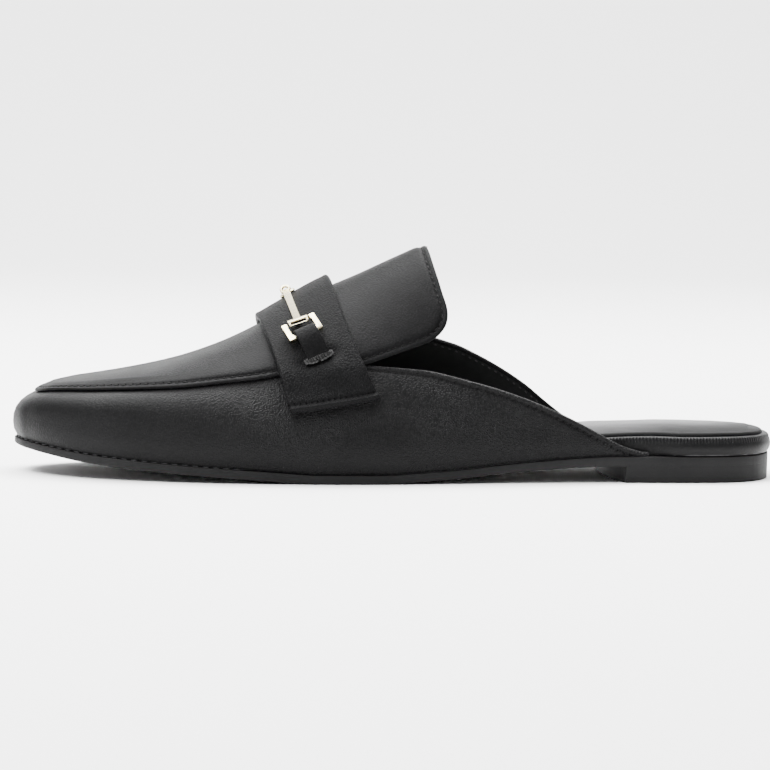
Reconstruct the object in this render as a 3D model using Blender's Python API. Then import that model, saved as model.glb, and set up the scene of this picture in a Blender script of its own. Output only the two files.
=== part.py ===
"""Flat leather mule for the left foot, with an apron front, a saddle strap and a snaffle bit.

Metres, +Z up. The toe points to -X and the outer side of the foot is at -Y.
While a piece is worked out, its length runs from 0 at the toe tip to LENGTH at the heel;
the last step puts the origin under the middle of the whole shoe.
"""

import math
from collections import namedtuple

import bmesh
import bpy
import numpy as np
from mathutils import Matrix, Vector

# Sizes of the last that the shoe is built on
LENGTH = 0.256
BALL_WIDTH = 0.086
HEEL_WIDTH = 0.060
INSTEP_HEIGHT = 0.065
RIDGE_SHIFT = 0.003
NOSE_REACH = 0.088
NOSE_FULLNESS = 6.0
NOSE_ROUNDNESS = 2.75
RIDGE_SOFTNESS = 0.1

# Sole, heel and footbed
TOE_SPRING = 0.0093
HEEL_BLOCK_HEIGHT = 0.0054
SOLE_THICKNESS = 0.0030
SOLE_LIP = 0.0008
SOLE_EDGE_ROUND = 0.0005
BREAST_SHARE = 0.787
BREAST_BULGE = 0.003
HEEL_RAKE = 0.0006
FOOTBED_THICKNESS = 0.0062
FOOTBED_ROUND = 0.0012
FOOTBED_SWELL = 0.0006
FOOTBED_FOOT = 0.0005
FOOTBED_BELLY = 0.45
FOOTBED_CLEARANCE = 0.0009
FLARE_START = 0.8275
FLARE_LENGTH = 0.0055
LINING_THICKNESS = 0.0009
LINING_EDGE_ROUND = 0.0006
LINING_SIDE = 0.6
LINING_INSET = 0.0014
LINING_CROWN = 0.0004

# Upper, apron and strap
WALL = 0.0018
THROAT_SHARE = 0.446
THROAT_CORNER_FRONT = 0.006
THROAT_CORNER_REAR = 0.012
WING_END = 0.820
WING_TIP_HEIGHT = 0.0011
WING_TIP_LENGTH = 0.0003
WING_TUCK = 0.97
APRON_THICKNESS = 0.0015
STRAP_THICKNESS = 0.0022
STRAP_CLEARANCE = 0.0004
STRAP_LIFT_FRONT = 0.0008
STRAP_LIFT_REAR = 0.0014
STRAP_LIFT_REACH = 0.6
STRAP_STEP = 0.11
STRAP_STEP_START = 0.015
STRAP_SWEEP = 2.6
STRAP_SPREAD = 1.35

# Snaffle bit and the tabs that hold it; places on the strap are shares of its width and half length
BIT_PLACE = 0.475
BIT_END = 0.42
RING_PLACE = 0.515
RING_END = 0.54
BIT_BAR_WIDTH = 0.0024
BIT_BAR_THICKNESS = 0.0014
BIT_EDGE_ROUND = 0.0003
CROSSBAR_WIDTH = 0.0013
CROSSBAR_THICKNESS = 0.0015
EYE_RADIUS = 0.0017
EYE_WIRE = 0.0011
LINK_RADIUS = 0.0028
LINK_WIRE = 0.0011
LINK_LIFT = 0.0023
EYE_LIFT = 0.0004
CROSSBAR_LENGTH = 0.0070
RING_LENGTH = 0.0132
RING_HEIGHT = 0.0083
RING_WIRE = 0.0017
RING_EDGE_ROUND = 0.0004
STIRRUP_LEG = 0.0012
STIRRUP_THICKNESS = 0.0013
STIRRUP_DEPTH = 0.0026
PIVOT_DROP = 0.0014
TAB_WIDTH = 0.0076
TAB_LENGTH = 0.0128
TAB_THICKNESS = 0.0010
TAB_SEGMENTS = 7
TAB_FOOT = 0.0004
TAB_BACK = 0.3

# Side view of a tab between its foot and its bend, as shares of its length and of the bend
Slope = namedtuple("Slope", "along lift")
TAB_SLOPE = (Slope(0.5, 0.62), Slope(0.2, 0.96))

GAP = 0.0003
TAB_SLACK = 0.0003
TAB_BEND = RING_WIRE / 2 + TAB_SLACK + GAP + TAB_THICKNESS
WELD = 0.000001
SAMPLES = 64
WALL_SAMPLES = 12
NORMAL_STEP = 0.0004
FRAME_STEP = 0.01
BREAST_TURNS = 2
SHARP_ANGLE = math.radians(40)

# Half widths of the widest line seen from above, as shares of the width there
Plan = namedtuple("Plan", "along outer inner")
PLAN = (
    Plan(0.000, -0.035, 0.035),
    Plan(0.008, 0.081, 0.145),
    Plan(0.020, 0.145, 0.209),
    Plan(0.039, 0.215, 0.273),
    Plan(0.070, 0.291, 0.337),
    Plan(0.117, 0.366, 0.393),
    Plan(0.176, 0.430, 0.436),
    Plan(0.234, 0.471, 0.465),
    Plan(0.293, 0.493, 0.480),
    Plan(0.352, 0.503, 0.477),
    Plan(0.410, 0.503, 0.459),
    Plan(0.469, 0.499, 0.438),
    Plan(0.527, 0.495, 0.424),
    Plan(0.586, 0.492, 0.422),
    Plan(0.645, 0.496, 0.432),
    Plan(0.703, 0.504, 0.453),
    Plan(0.762, 0.511, 0.479),
    Plan(0.820, 0.510, 0.493),
    Plan(0.879, 0.500, 0.492),
    Plan(0.930, 0.467, 0.463),
    Plan(0.965, 0.380, 0.383),
    Plan(0.984, 0.275, 0.283),
    Plan(0.996, 0.142, 0.158),
    Plan(1.000, -0.008, 0.008),
)
HEEL_BLEND = (0.41, 0.82)

# Cross-sections: roof and belly are shares of INSTEP_HEIGHT, tuck is a share of BALL_WIDTH
Section = namedtuple("Section", "along roof belly tuck squareness")
SECTIONS = (
    Section(0.000, 0.460, 0.246, 0.017, 3.00),
    Section(0.045, 0.463, 0.234, 0.019, 4.00),
    Section(0.090, 0.468, 0.220, 0.021, 4.30),
    Section(0.130, 0.485, 0.211, 0.023, 4.10),
    Section(0.180, 0.521, 0.203, 0.025, 3.40),
    Section(0.220, 0.562, 0.198, 0.027, 2.85),
    Section(0.270, 0.635, 0.194, 0.029, 2.25),
    Section(0.310, 0.711, 0.191, 0.030, 1.88),
    Section(0.352, 0.805, 0.188, 0.030, 1.66),
    Section(0.400, 0.912, 0.185, 0.029, 1.53),
    Section(0.450, 0.999, 0.185, 0.028, 1.46),
    Section(0.500, 1.092, 0.188, 0.026, 1.43),
    Section(0.531, 1.148, 0.192, 0.025, 1.42),
    Section(0.586, 1.237, 0.200, 0.023, 1.42),
    Section(0.700, 1.350, 0.208, 0.018, 1.42),
    Section(0.840, 1.415, 0.200, 0.013, 1.42),
    Section(1.000, 1.415, 0.200, 0.012, 1.42),
)

# Underside: spring is a share of TOE_SPRING, rise of HEEL_BLOCK_HEIGHT, body of SOLE_THICKNESS
Sole = namedtuple("Sole", "along spring rise body")
SOLE = (
    Sole(0.000, 1.00, 0.00, 0.72),
    Sole(0.046, 0.78, 0.00, 0.83),
    Sole(0.097, 0.56, 0.00, 0.92),
    Sole(0.161, 0.39, 0.00, 0.97),
    Sole(0.237, 0.24, 0.00, 1.00),
    Sole(0.287, 0.16, 0.00, 1.00),
    Sole(0.338, 0.08, 0.00, 1.00),
    Sole(0.387, 0.00, 0.00, 1.00),
    Sole(0.473, 0.00, 0.00, 1.00),
    Sole(0.517, 0.00, 0.13, 0.98),
    Sole(0.571, 0.00, 0.31, 0.96),
    Sole(0.625, 0.00, 0.58, 0.96),
    Sole(0.678, 0.00, 0.79, 0.98),
    Sole(0.731, 0.00, 0.94, 1.04),
    Sole(0.780, 0.00, 1.00, 1.12),
    Sole(1.000, 0.00, 1.00, 1.13),
)

# Footbed thickness as a share of FOOTBED_THICKNESS
Bed = namedtuple("Bed", "along body")
BED = (
    Bed(0.00, 0.42),
    Bed(0.45, 0.42),
    Bed(0.62, 0.62),
    Bed(0.76, 0.92),
    Bed(0.84, 1.00),
    Bed(1.00, 1.00),
)

# Height of the upper's top edge behind the throat, as shares of INSTEP_HEIGHT
Topline = namedtuple("Topline", "along outer inner")
TOPLINE = (
    Topline(0.446, 0.596, 0.700),
    Topline(0.523, 0.573, 0.714),
    Topline(0.589, 0.514, 0.656),
    Topline(0.622, 0.478, 0.598),
    Topline(0.656, 0.433, 0.525),
    Topline(0.690, 0.379, 0.437),
    Topline(0.722, 0.320, 0.334),
    Topline(0.755, 0.252, 0.242),
    Topline(0.791, 0.178, 0.180),
    Topline(0.820, 0.142, 0.142),
)

# Apron seam, as a share of the way from the middle out to the widest line
Seam = namedtuple("Seam", "along share")
SEAM = (
    Seam(0.000, 0.914),
    Seam(0.037, 0.888),
    Seam(0.074, 0.870),
    Seam(0.184, 0.833),
    Seam(0.273, 0.785),
    Seam(0.344, 0.756),
    Seam(0.446, 0.752),
)

# Free edge of the tongue, from the throat round its corner to the middle
Edge = namedtuple("Edge", "along share")
TONGUE = (
    Edge(0.446, 0.752),
    Edge(0.491, 0.736),
    Edge(0.529, 0.719),
    Edge(0.547, 0.697),
    Edge(0.5572, 0.657),
    Edge(0.5592, 0.595),
    Edge(0.5534, 0.490),
    Edge(0.5447, 0.300),
    Edge(0.5395, 0.120),
    Edge(0.5378, 0.000),
)

# Strap: place of each end corner, and of the crossing of the middle line
StrapEdge = namedtuple("StrapEdge", "middle end_along end_share")
STRAP_FRONT = StrapEdge(0.325, 0.352, 0.942)
STRAP_REAR = StrapEdge(0.4185, 0.462, 0.898)

FAN_COLUMNS = 34
RIDGE_COLUMNS = 4
THROAT_COLUMNS = 5
WING_COLUMNS = 12
UPPER_ROWS = 14
APRON_ROWS = 9
TONGUE_COLUMNS = 12
STRAP_ALONG = 28
STRAP_ACROSS = 6
PLATE_COLUMNS = 4

LEATHER = (0.012, 0.012, 0.012, 1.0)
RUBBER = (0.010, 0.010, 0.011, 1.0)
LINING = (0.060, 0.060, 0.060, 1.0)
METAL = (0.840, 0.760, 0.520, 1.0)


class Curve:
    """One column of a table, eased between its rows without overshooting them."""

    def __init__(self, rows, column):
        self.at = [row.along for row in rows]
        self.value = [getattr(row, column) for row in rows]
        steps = [
            (self.value[i + 1] - self.value[i]) / (self.at[i + 1] - self.at[i])
            for i in range(len(rows) - 1)
        ]
        self.slope = [steps[0]]
        for before, after in zip(steps, steps[1:]):
            same_way = before * after > 0
            self.slope.append(2 * before * after / (before + after) if same_way else 0.0)
        self.slope.append(steps[-1])

    def __call__(self, along):
        last = len(self.at) - 1
        if along <= self.at[0]:
            return self.value[0]
        if along >= self.at[last]:
            return self.value[last]
        i = max(k for k in range(last) if self.at[k] <= along)
        width = self.at[i + 1] - self.at[i]
        t = (along - self.at[i]) / width
        start = self.value[i] * (2 * t**3 - 3 * t**2 + 1) + self.slope[i] * width * (t**3 - 2 * t**2 + t)
        end = self.value[i + 1] * (3 * t**2 - 2 * t**3) + self.slope[i + 1] * width * (t**3 - t**2)
        return start + end


roof_curve = Curve(SECTIONS, "roof")
belly_curve = Curve(SECTIONS, "belly")
tuck_curve = Curve(SECTIONS, "tuck")
squareness_curve = Curve(SECTIONS, "squareness")
spring_curve = Curve(SOLE, "spring")
rise_curve = Curve(SOLE, "rise")
body_curve = Curve(SOLE, "body")
bed_curve = Curve(BED, "body")
topline_curves = {-1: Curve(TOPLINE, "outer"), 1: Curve(TOPLINE, "inner")}
seam_curve = Curve(SEAM, "share")


def smoothstep(value):
    value = min(max(value, 0.0), 1.0)
    return value * value * (3 - 2 * value)


def mix(a, b, share):
    return a + (b - a) * share


def spread(first, last, count):
    return [mix(first, last, i / count) for i in range(count + 1)]


def width_at(along):
    start, end = HEEL_BLEND
    return mix(BALL_WIDTH, HEEL_WIDTH, smoothstep((along - start) / (end - start)))


def plan_point(index, side):
    """A row of the plan table as a point; the closed line is mirrored past its two tips."""
    last = len(PLAN) - 1
    if index < 0:
        index, side = -index, -side
    if index > last:
        index, side = 2 * last - index, -side
    row = PLAN[index]
    half = row.outer if side < 0 else row.inner
    return Vector((row.along * LENGTH, side * half * width_at(row.along)))


def outline(turn, side, inset=0.0):
    """Plan point of the widest line; turn counts the plan's rows from the toe tip."""
    turn = min(max(turn, 0.0), len(PLAN) - 1.0)
    index = min(int(turn), len(PLAN) - 2)
    t = turn - index
    a, b, c, d = (plan_point(index + k, side) for k in (-1, 0, 1, 2))
    point = 0.5 * (2 * b + (c - a) * t + (2 * a - 5 * b + 4 * c - d) * t**2
                   + (3 * b - a - 3 * c + d) * t**3)
    run = 0.5 * ((c - a) + (2 * a - 5 * b + 4 * c - d) * 2 * t + (3 * b - a - 3 * c + d) * 3 * t**2)
    inward = Vector((run.y, -run.x)).normalized() * side
    return point + inward * inset


FINE_TURNS = np.linspace(0.0, len(PLAN) - 1.0, 40 * len(PLAN))
FINE_LINE = {side: np.array([outline(turn, side) for turn in FINE_TURNS]) for side in (-1, 1)}


def turn_at(s):
    return float(np.interp(s, FINE_LINE[-1][:, 0], FINE_TURNS))


def reach(s, side):
    """Distance from the middle line to the widest line at one station."""
    line = FINE_LINE[side]
    return max(abs(float(np.interp(s, line[:, 0], line[:, 1])) - RIDGE_SHIFT), WELD)


def underside(s):
    along = s / LENGTH
    return TOE_SPRING * spring_curve(along) + HEEL_BLOCK_HEIGHT * rise_curve(along)


def sole_top(s):
    return underside(s) + SOLE_THICKNESS * body_curve(s / LENGTH)


def bed_top(s):
    return sole_top(s) + GAP + FOOTBED_THICKNESS * bed_curve(s / LENGTH)


def belly(s):
    return INSTEP_HEIGHT * belly_curve(s / LENGTH)


def tuck(s):
    return BALL_WIDTH * tuck_curve(s / LENGTH)


def nose(s):
    """How much of the roof's height the toe has reached, 0 at the tip and 1 behind it."""
    behind = min(max(1 - s / NOSE_REACH, 0.0), 1.0)
    return (1 - behind**NOSE_FULLNESS) ** (1 / NOSE_ROUNDNESS)


def roof_rise(s):
    return (INSTEP_HEIGHT * roof_curve(s / LENGTH) - belly(s)) * nose(s)


def soften(share):
    """Rounds the ridge of a section, which its exponent would leave pinched."""
    full = math.hypot(1, RIDGE_SOFTNESS) - RIDGE_SOFTNESS
    return (math.hypot(share, RIDGE_SOFTNESS) - RIDGE_SOFTNESS) / full


def section_height(s, share):
    power = squareness_curve(s / LENGTH)
    side_share = soften(min(share, 1.0)) ** power
    return belly(s) + roof_rise(s) * max(1 - side_share, 0.0) ** (1 / power)


def share_at_height(s, z):
    """Inverse of section_height, for the wall above the belly."""
    power = squareness_curve(s / LENGTH)
    rise = min(max((z - belly(s)) / roof_rise(s), 0.0), 1.0)
    soft = max(1 - rise**power, 0.0) ** (1 / power)
    full = math.hypot(1, RIDGE_SOFTNESS) - RIDGE_SOFTNESS
    return math.sqrt(max((soft * full + RIDGE_SOFTNESS) ** 2 - RIDGE_SOFTNESS**2, 0.0))


def height(s, y):
    side = -1 if y < RIDGE_SHIFT else 1
    return section_height(s, abs(y - RIDGE_SHIFT) / reach(s, side))


def plan_y(s, side, share):
    return RIDGE_SHIFT + side * share * reach(s, side)


def skin_normal(s, y):
    step = NORMAL_STEP
    slope_s = (height(s + step, y) - height(s - step, y)) / (2 * step)
    slope_y = (height(s, y + step) - height(s, y - step)) / (2 * step)
    return Vector((-slope_s, -slope_y, 1.0)).normalized()


def skin(s, y, lift=0.0):
    """Point on the upper's outer surface above the belly, raised along its normal."""
    return Vector((s, y, height(s, y))) + skin_normal(s, y) * lift


def tucked(turn, side, drop):
    """Point of the wall under the belly; drop runs from 0 at the belly to 1 at the sole."""
    edge = outline(turn, side)
    floor_z = sole_top(edge.x) + GAP
    point = outline(turn, side, tuck(edge.x) * drop**2)
    return Vector((point.x, point.y, mix(belly(edge.x), floor_z, drop)))


def even_points(path, count):
    """Resamples a path into points that lie evenly along it."""
    lengths = [0.0]
    for a, b in zip(path, path[1:]):
        lengths.append(lengths[-1] + (b - a).length)
    coords = np.array(path)
    wanted = np.linspace(0.0, lengths[-1], count + 1)
    return [Vector([float(np.interp(w, lengths, coords[:, k])) for k in range(3)]) for w in wanted]


def fan_path(turn, side, start=1.0):
    """From the widest line straight towards the fan's centre on the ridge."""
    foot = outline(turn, side)
    centre = Vector((NOSE_REACH, RIDGE_SHIFT))
    path = []
    for k in range(SAMPLES + 1):
        share = start * math.cos(k / SAMPLES * math.pi / 2)
        point = centre + (foot - centre) * share
        z = belly(foot.x) if share >= 1.0 else height(point.x, point.y)
        path.append(Vector((point.x, point.y, z)))
    return path


def side_path(foot_s, side, end_s, end_share):
    """From the widest line up the wall to a place given by its station and share."""
    path = []
    for k in range(SAMPLES + 1):
        way = math.sin(k / SAMPLES * math.pi / 2)
        share = mix(1.0, end_share, 1 - math.cos(k / SAMPLES * math.pi / 2))
        s = mix(foot_s, end_s, way)
        path.append(Vector((s, plan_y(s, side, share), section_height(s, share))))
    return path


def wall_path(turn, side, drop_end):
    drops = spread(1.0, drop_end, WALL_SAMPLES)
    return [tucked(turn, side, drop) for drop in drops]


def topline_height(s, side):
    return INSTEP_HEIGHT * topline_curves[side](s / LENGTH)


def wing_column(foot_s, end_s, side):
    """Column of a wing, from the sole up to the top edge."""
    top = topline_height(end_s, side)
    if end_s > WING_END * LENGTH - WING_TIP_LENGTH:
        top = sole_top(end_s) + GAP + WING_TIP_HEIGHT
    turn = turn_at(foot_s)
    if top <= belly(end_s) + GAP:
        lowest = sole_top(end_s) + GAP
        drop = (belly(end_s) - top) / (belly(end_s) - lowest)
        return wall_path(turn_at(end_s), side, min(drop, WING_TUCK))
    share = share_at_height(end_s, top)
    return wall_path(turn, side, 0.0) + side_path(foot_s, side, end_s, share)[1:]


def upper_columns():
    """Columns of the upper from the outer wing round the toe to the inner wing."""
    throat = THROAT_SHARE * LENGTH
    corner_front = throat - THROAT_CORNER_FRONT
    corner_rear = throat + THROAT_CORNER_REAR
    sides = {}
    for side in (-1, 1):
        columns = []
        ends = spread(throat, WING_END * LENGTH, WING_COLUMNS)
        feet = spread(corner_rear, WING_END * LENGTH, WING_COLUMNS)
        for foot_s, end_s in reversed(list(zip(feet, ends))):
            columns.append(wing_column(foot_s, end_s, side))
        corner_share = share_at_height(throat, topline_height(throat, side))
        feet = spread(corner_rear, corner_front, THROAT_COLUMNS)
        shares = spread(corner_share, 0.0, THROAT_COLUMNS)
        for foot_s, share in list(zip(feet, shares))[1:]:
            columns.append(wall_path(turn_at(foot_s), side, 0.0)
                           + side_path(foot_s, side, throat, share)[1:])
        feet = spread(corner_front, NOSE_REACH, RIDGE_COLUMNS)
        ends = spread(throat, NOSE_REACH, RIDGE_COLUMNS)
        for foot_s, end_s in list(zip(feet, ends))[1:-1]:
            columns.append(wall_path(turn_at(foot_s), side, 0.0)
                           + side_path(foot_s, side, end_s, 0.0)[1:])
        sides[side] = columns
    fan_turn = turn_at(NOSE_REACH)
    fan = []
    for turn in spread(-fan_turn, fan_turn, FAN_COLUMNS):
        side = -1 if turn <= 0 else 1
        fan.append(wall_path(abs(turn), side, 0.0) + fan_path(abs(turn), side)[1:])
    return sides[-1] + fan + list(reversed(sides[1]))


def apron_columns():
    """Columns of the apron and tongue from their edge in to the ridge."""
    throat = THROAT_SHARE * LENGTH
    fan_turn = turn_at(NOSE_REACH)
    centre = Vector((NOSE_REACH, RIDGE_SHIFT))
    fan = []
    for turn in spread(-fan_turn, fan_turn, FAN_COLUMNS):
        side = -1 if turn <= 0 else 1
        foot = outline(abs(turn), side)
        start = centre + (foot - centre) * seam_curve(foot.x / LENGTH)
        fan.append((start, centre))
    edge_along = [row.along for row in TONGUE]
    edge_share = [row.share for row in TONGUE]
    rows = list(range(len(TONGUE)))
    sides = {}
    for side in (-1, 1):
        pairs = []
        for step in spread(len(TONGUE) - 1.0, 0.0, TONGUE_COLUMNS):
            s = float(np.interp(step, rows, edge_along)) * LENGTH
            share = float(np.interp(step, rows, edge_share))
            end_s = mix(throat, TONGUE[-1].along * LENGTH, min(step / (len(TONGUE) - 1.5), 1.0))
            pairs.append((Vector((s, plan_y(s, side, share))), Vector((end_s, RIDGE_SHIFT))))
        for s in spread(throat, NOSE_REACH, RIDGE_COLUMNS)[1:-1]:
            share = seam_curve(s / LENGTH)
            pairs.append((Vector((s, plan_y(s, side, share))), Vector((s, RIDGE_SHIFT))))
        sides[side] = pairs[1:]
    tip = Vector((TONGUE[-1].along * LENGTH, RIDGE_SHIFT))
    pairs = sides[-1] + fan + list(reversed(sides[1]))
    columns = []
    for start, end in pairs:
        path = []
        for k in range(SAMPLES + 1):
            point = start.lerp(end, k / SAMPLES)
            path.append(skin(point.x, point.y, GAP))
        columns.append(path)
    columns.insert(0, [skin(tip.x, tip.y, GAP)] * 2)
    columns.append([skin(tip.x, tip.y, GAP)] * 2)
    return columns


def strap_skin(v, u):
    """Point under the strap; v runs from its front edge to its rear, u from end to end."""
    side = -1 if u < 0 else 1
    way = abs(u)
    middle = mix(STRAP_FRONT.middle, STRAP_REAR.middle, v)
    end_along = mix(STRAP_FRONT.end_along, STRAP_REAR.end_along, v)
    end_share = mix(STRAP_FRONT.end_share, STRAP_REAR.end_share, v)
    s = mix(middle, end_along, way**STRAP_SWEEP) * LENGTH
    share = end_share * way * mix(STRAP_SPREAD, 1.0, way)
    seam = seam_curve(s / LENGTH)
    over_apron = 1 - smoothstep((share - seam - STRAP_STEP_START) / STRAP_STEP)
    crown = mix(STRAP_LIFT_FRONT, STRAP_LIFT_REAR, v) * max(1 - way / STRAP_LIFT_REACH, 0.0)
    lift = STRAP_CLEARANCE + (APRON_THICKNESS + GAP) * over_apron + crown
    return skin(s, plan_y(s, side, share), lift)


def strap_frame(v, u, lift):
    """Axes on top of the strap: X along the shoe, Y towards the ridge, Z off the leather."""
    step = FRAME_STEP
    here = strap_skin(v, u)
    along = (strap_skin(v + step, u) - strap_skin(v - step, u)).normalized()
    across = (strap_skin(v, u + step) - strap_skin(v, u - step)).normalized()
    off = along.cross(across).normalized()
    across = off.cross(along).normalized()
    origin = here + off * (STRAP_THICKNESS + lift)
    frame = Matrix((along, across, off)).transposed().to_4x4()
    frame.translation = origin
    return frame


def finish(name, bm, material, collection):
    """Closes a bmesh into a named object with outward faces."""
    bmesh.ops.remove_doubles(bm, verts=bm.verts, dist=WELD)
    bmesh.ops.recalc_face_normals(bm, faces=bm.faces)
    if bm.calc_volume(signed=True) < 0:
        bmesh.ops.reverse_faces(bm, faces=bm.faces)
    mesh = bpy.data.meshes.new(name)
    bm.to_mesh(mesh)
    bm.free()
    mesh.materials.append(material)
    mesh.shade_smooth()
    mesh.set_sharp_from_angle(angle=SHARP_ANGLE)
    piece = bpy.data.objects.new(name, mesh)
    collection.objects.link(piece)
    return piece


def grid_sheet(columns, place):
    """A grid whose vertices are placed by column and row, welded where they meet."""
    count = len(columns) - 1
    rows = len(columns[0]) - 1
    bm = bmesh.new()
    bmesh.ops.create_grid(bm, x_segments=count, y_segments=rows, size=0.5)
    row_tag = bm.verts.layers.int.new("row")
    bm.verts.ensure_lookup_table()
    for vert in bm.verts:
        column, row = vert.index % (count + 1), vert.index // (count + 1)
        vert[row_tag] = row
        vert.co = place(columns, column, row)
    bmesh.ops.remove_doubles(bm, verts=bm.verts, dist=WELD)
    bmesh.ops.dissolve_degenerate(bm, edges=bm.edges, dist=WELD)
    bmesh.ops.recalc_face_normals(bm, faces=bm.faces)
    bm.normal_update()
    return bm, row_tag


def thicken(bm, moves):
    """Gives an open sheet its second side; moves maps each vertex to its offset."""
    tag = bm.verts.layers.int.new("mate")
    offsets = []
    for vert in bm.verts:
        vert[tag] = len(offsets)
        offsets.append(moves(vert))
    made = bmesh.ops.extrude_face_region(bm, geom=list(bm.faces))
    for vert in made["geom"]:
        if isinstance(vert, bmesh.types.BMVert):
            vert.co += offsets[vert[tag]]


def facing_up(bm):
    """True where the sheet's normals point away from the foot."""
    return sum(face.normal.z * face.calc_area() for face in bm.faces) > 0


def upper_piece(material, collection):
    columns = [even_points(path, UPPER_ROWS) for path in upper_columns()]
    bm, row_tag = grid_sheet(columns, lambda cols, i, j: cols[i][j])
    outward = 1 if facing_up(bm) else -1

    def inward(vert):
        normal = vert.normal * outward
        if vert[row_tag] == 0:
            normal.z = 0.0
            normal.normalize()
        return normal * -WALL

    thicken(bm, inward)
    return finish("upper", bm, material, collection)


def apron_piece(material, collection):
    columns = [even_points(path, APRON_ROWS) for path in apron_columns()]
    bm, _ = grid_sheet(columns, lambda cols, i, j: cols[i][j])
    outward = 1 if facing_up(bm) else -1
    thicken(bm, lambda vert: vert.normal * outward * APRON_THICKNESS)
    return finish("apron", bm, material, collection)


def strap_piece(material, collection):
    columns = [[strap_skin(v, u) for v in spread(0.0, 1.0, STRAP_ACROSS)]
               for u in spread(-1.0, 1.0, STRAP_ALONG)]
    bm, _ = grid_sheet(columns, lambda cols, i, j: cols[i][j])
    outward = 1 if facing_up(bm) else -1
    thicken(bm, lambda vert: vert.normal * outward * STRAP_THICKNESS)
    return finish("saddle_strap", bm, material, collection)


def plate_turns(first, extra=()):
    """Stations of a flat piece, closer together at the toe and heel."""
    last = len(PLAN) - 1
    turns = [k / 2 for k in range(2 * last + 1) if k / 2 > first]
    return sorted({first, *turns, *extra})


def plate(name, turns, levels, material, collection, front_bulge=0.0):
    """Flat piece built up level by level; a level gives its inset and its height."""
    bm = bmesh.new()
    count = len(turns) - 1
    bmesh.ops.create_grid(bm, x_segments=count, y_segments=PLATE_COLUMNS, size=0.5)
    tags = {key: bm.verts.layers.float.new(key) for key in ("turn", "cross")}
    for vert in bm.verts:
        vert[tags["turn"]] = turns[vert.index % (count + 1)]
        vert[tags["cross"]] = vert.index // (count + 1) / PLATE_COLUMNS

    def place(vert, level):
        inset, z = level
        turn, cross = vert[tags["turn"]], vert[tags["cross"]]
        s = outline(turn, -1).x
        outer = outline(turn, -1, inset(s))
        inner = outline(turn, 1, inset(s))
        point = outer.lerp(inner, cross)
        middle = 1 - (2 * cross - 1) ** 2
        front = 1 - smoothstep((turn - turns[0]) / BREAST_TURNS) if front_bulge else 0.0
        point.x -= front_bulge * middle * front
        vert.co = Vector((point.x, point.y, z(point.x, middle)))

    for vert in bm.verts:
        place(vert, levels[0])
    bmesh.ops.remove_doubles(bm, verts=bm.verts, dist=WELD)
    top = list(bm.faces)
    for number, level in enumerate(levels[1:]):
        made = bmesh.ops.extrude_face_region(bm, geom=top)["geom"]
        covered = [face for face in top if number and face.is_valid]
        bmesh.ops.delete(bm, geom=covered, context="FACES_ONLY")
        top = [item for item in made if isinstance(item, bmesh.types.BMFace)]
        for vert in {v for face in top for v in face.verts}:
            place(vert, level)
    return finish(name, bm, material, collection)


def sole_inset(s):
    return tuck(s) - SOLE_LIP


def bed_inset(s):
    """Inside the upper's wall up to the wings' ends, then out to the full outline."""
    flare = smoothstep((s - FLARE_START * LENGTH) / FLARE_LENGTH)
    return mix(tuck(s) + WALL + FOOTBED_CLEARANCE, 0.0, flare)


def sole_pieces(materials, collection):
    turns = plate_turns(0.0)
    plate("outsole", turns, (
        (lambda s: sole_inset(s) + SOLE_EDGE_ROUND, lambda s, middle: underside(s)),
        (sole_inset, lambda s, middle: underside(s) + SOLE_EDGE_ROUND),
        (sole_inset, lambda s, middle: sole_top(s)),
    ), materials["rubber"], collection)

    block_top = HEEL_BLOCK_HEIGHT - GAP
    plate("heel_block", plate_turns(turn_at(BREAST_SHARE * LENGTH)), (
        (lambda s: sole_inset(s) + HEEL_RAKE, lambda s, middle: 0.0),
        (sole_inset, lambda s, middle: block_top),
    ), materials["rubber"], collection, front_bulge=BREAST_BULGE)

    flare = [turn_at(FLARE_START * LENGTH + FLARE_LENGTH * k / 3) for k in range(4)]
    bed_turns = plate_turns(0.0, flare)

    def rounded(s):
        return smoothstep((s - FLARE_START * LENGTH) / FLARE_LENGTH)

    plate("footbed", bed_turns, (
        (lambda s: bed_inset(s) + FOOTBED_FOOT * rounded(s), lambda s, middle: sole_top(s) + GAP),
        (lambda s: bed_inset(s) - FOOTBED_SWELL * rounded(s),
         lambda s, middle: mix(sole_top(s) + GAP, bed_top(s), FOOTBED_BELLY)),
        (bed_inset, lambda s, middle: bed_top(s) - FOOTBED_ROUND),
        (lambda s: bed_inset(s) + FOOTBED_ROUND, lambda s, middle: bed_top(s)),
    ), materials["leather"], collection)

    def lining_inset(s):
        return bed_inset(s) + FOOTBED_ROUND + LINING_INSET

    plate("sock_lining", bed_turns, (
        (lining_inset, lambda s, middle: bed_top(s) + GAP),
        (lining_inset, lambda s, middle: bed_top(s) + GAP + LINING_THICKNESS * LINING_SIDE),
        (lambda s: lining_inset(s) + LINING_EDGE_ROUND,
         lambda s, middle: bed_top(s) + GAP + LINING_THICKNESS + LINING_CROWN * middle),
    ), materials["lining"], collection)


def box_shape(bm, size, centre, round_by):
    """A box with its edges rounded."""
    made = bmesh.ops.create_cube(bm, size=1.0)
    bmesh.ops.scale(bm, vec=size, verts=made["verts"])
    bmesh.ops.translate(bm, vec=centre, verts=made["verts"])
    edges = list({edge for vert in made["verts"] for edge in vert.link_edges})
    bmesh.ops.bevel(bm, geom=edges, offset=round_by, offset_type="OFFSET", segments=1,
                    profile=0.5, affect="EDGES", material=-1)


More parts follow.
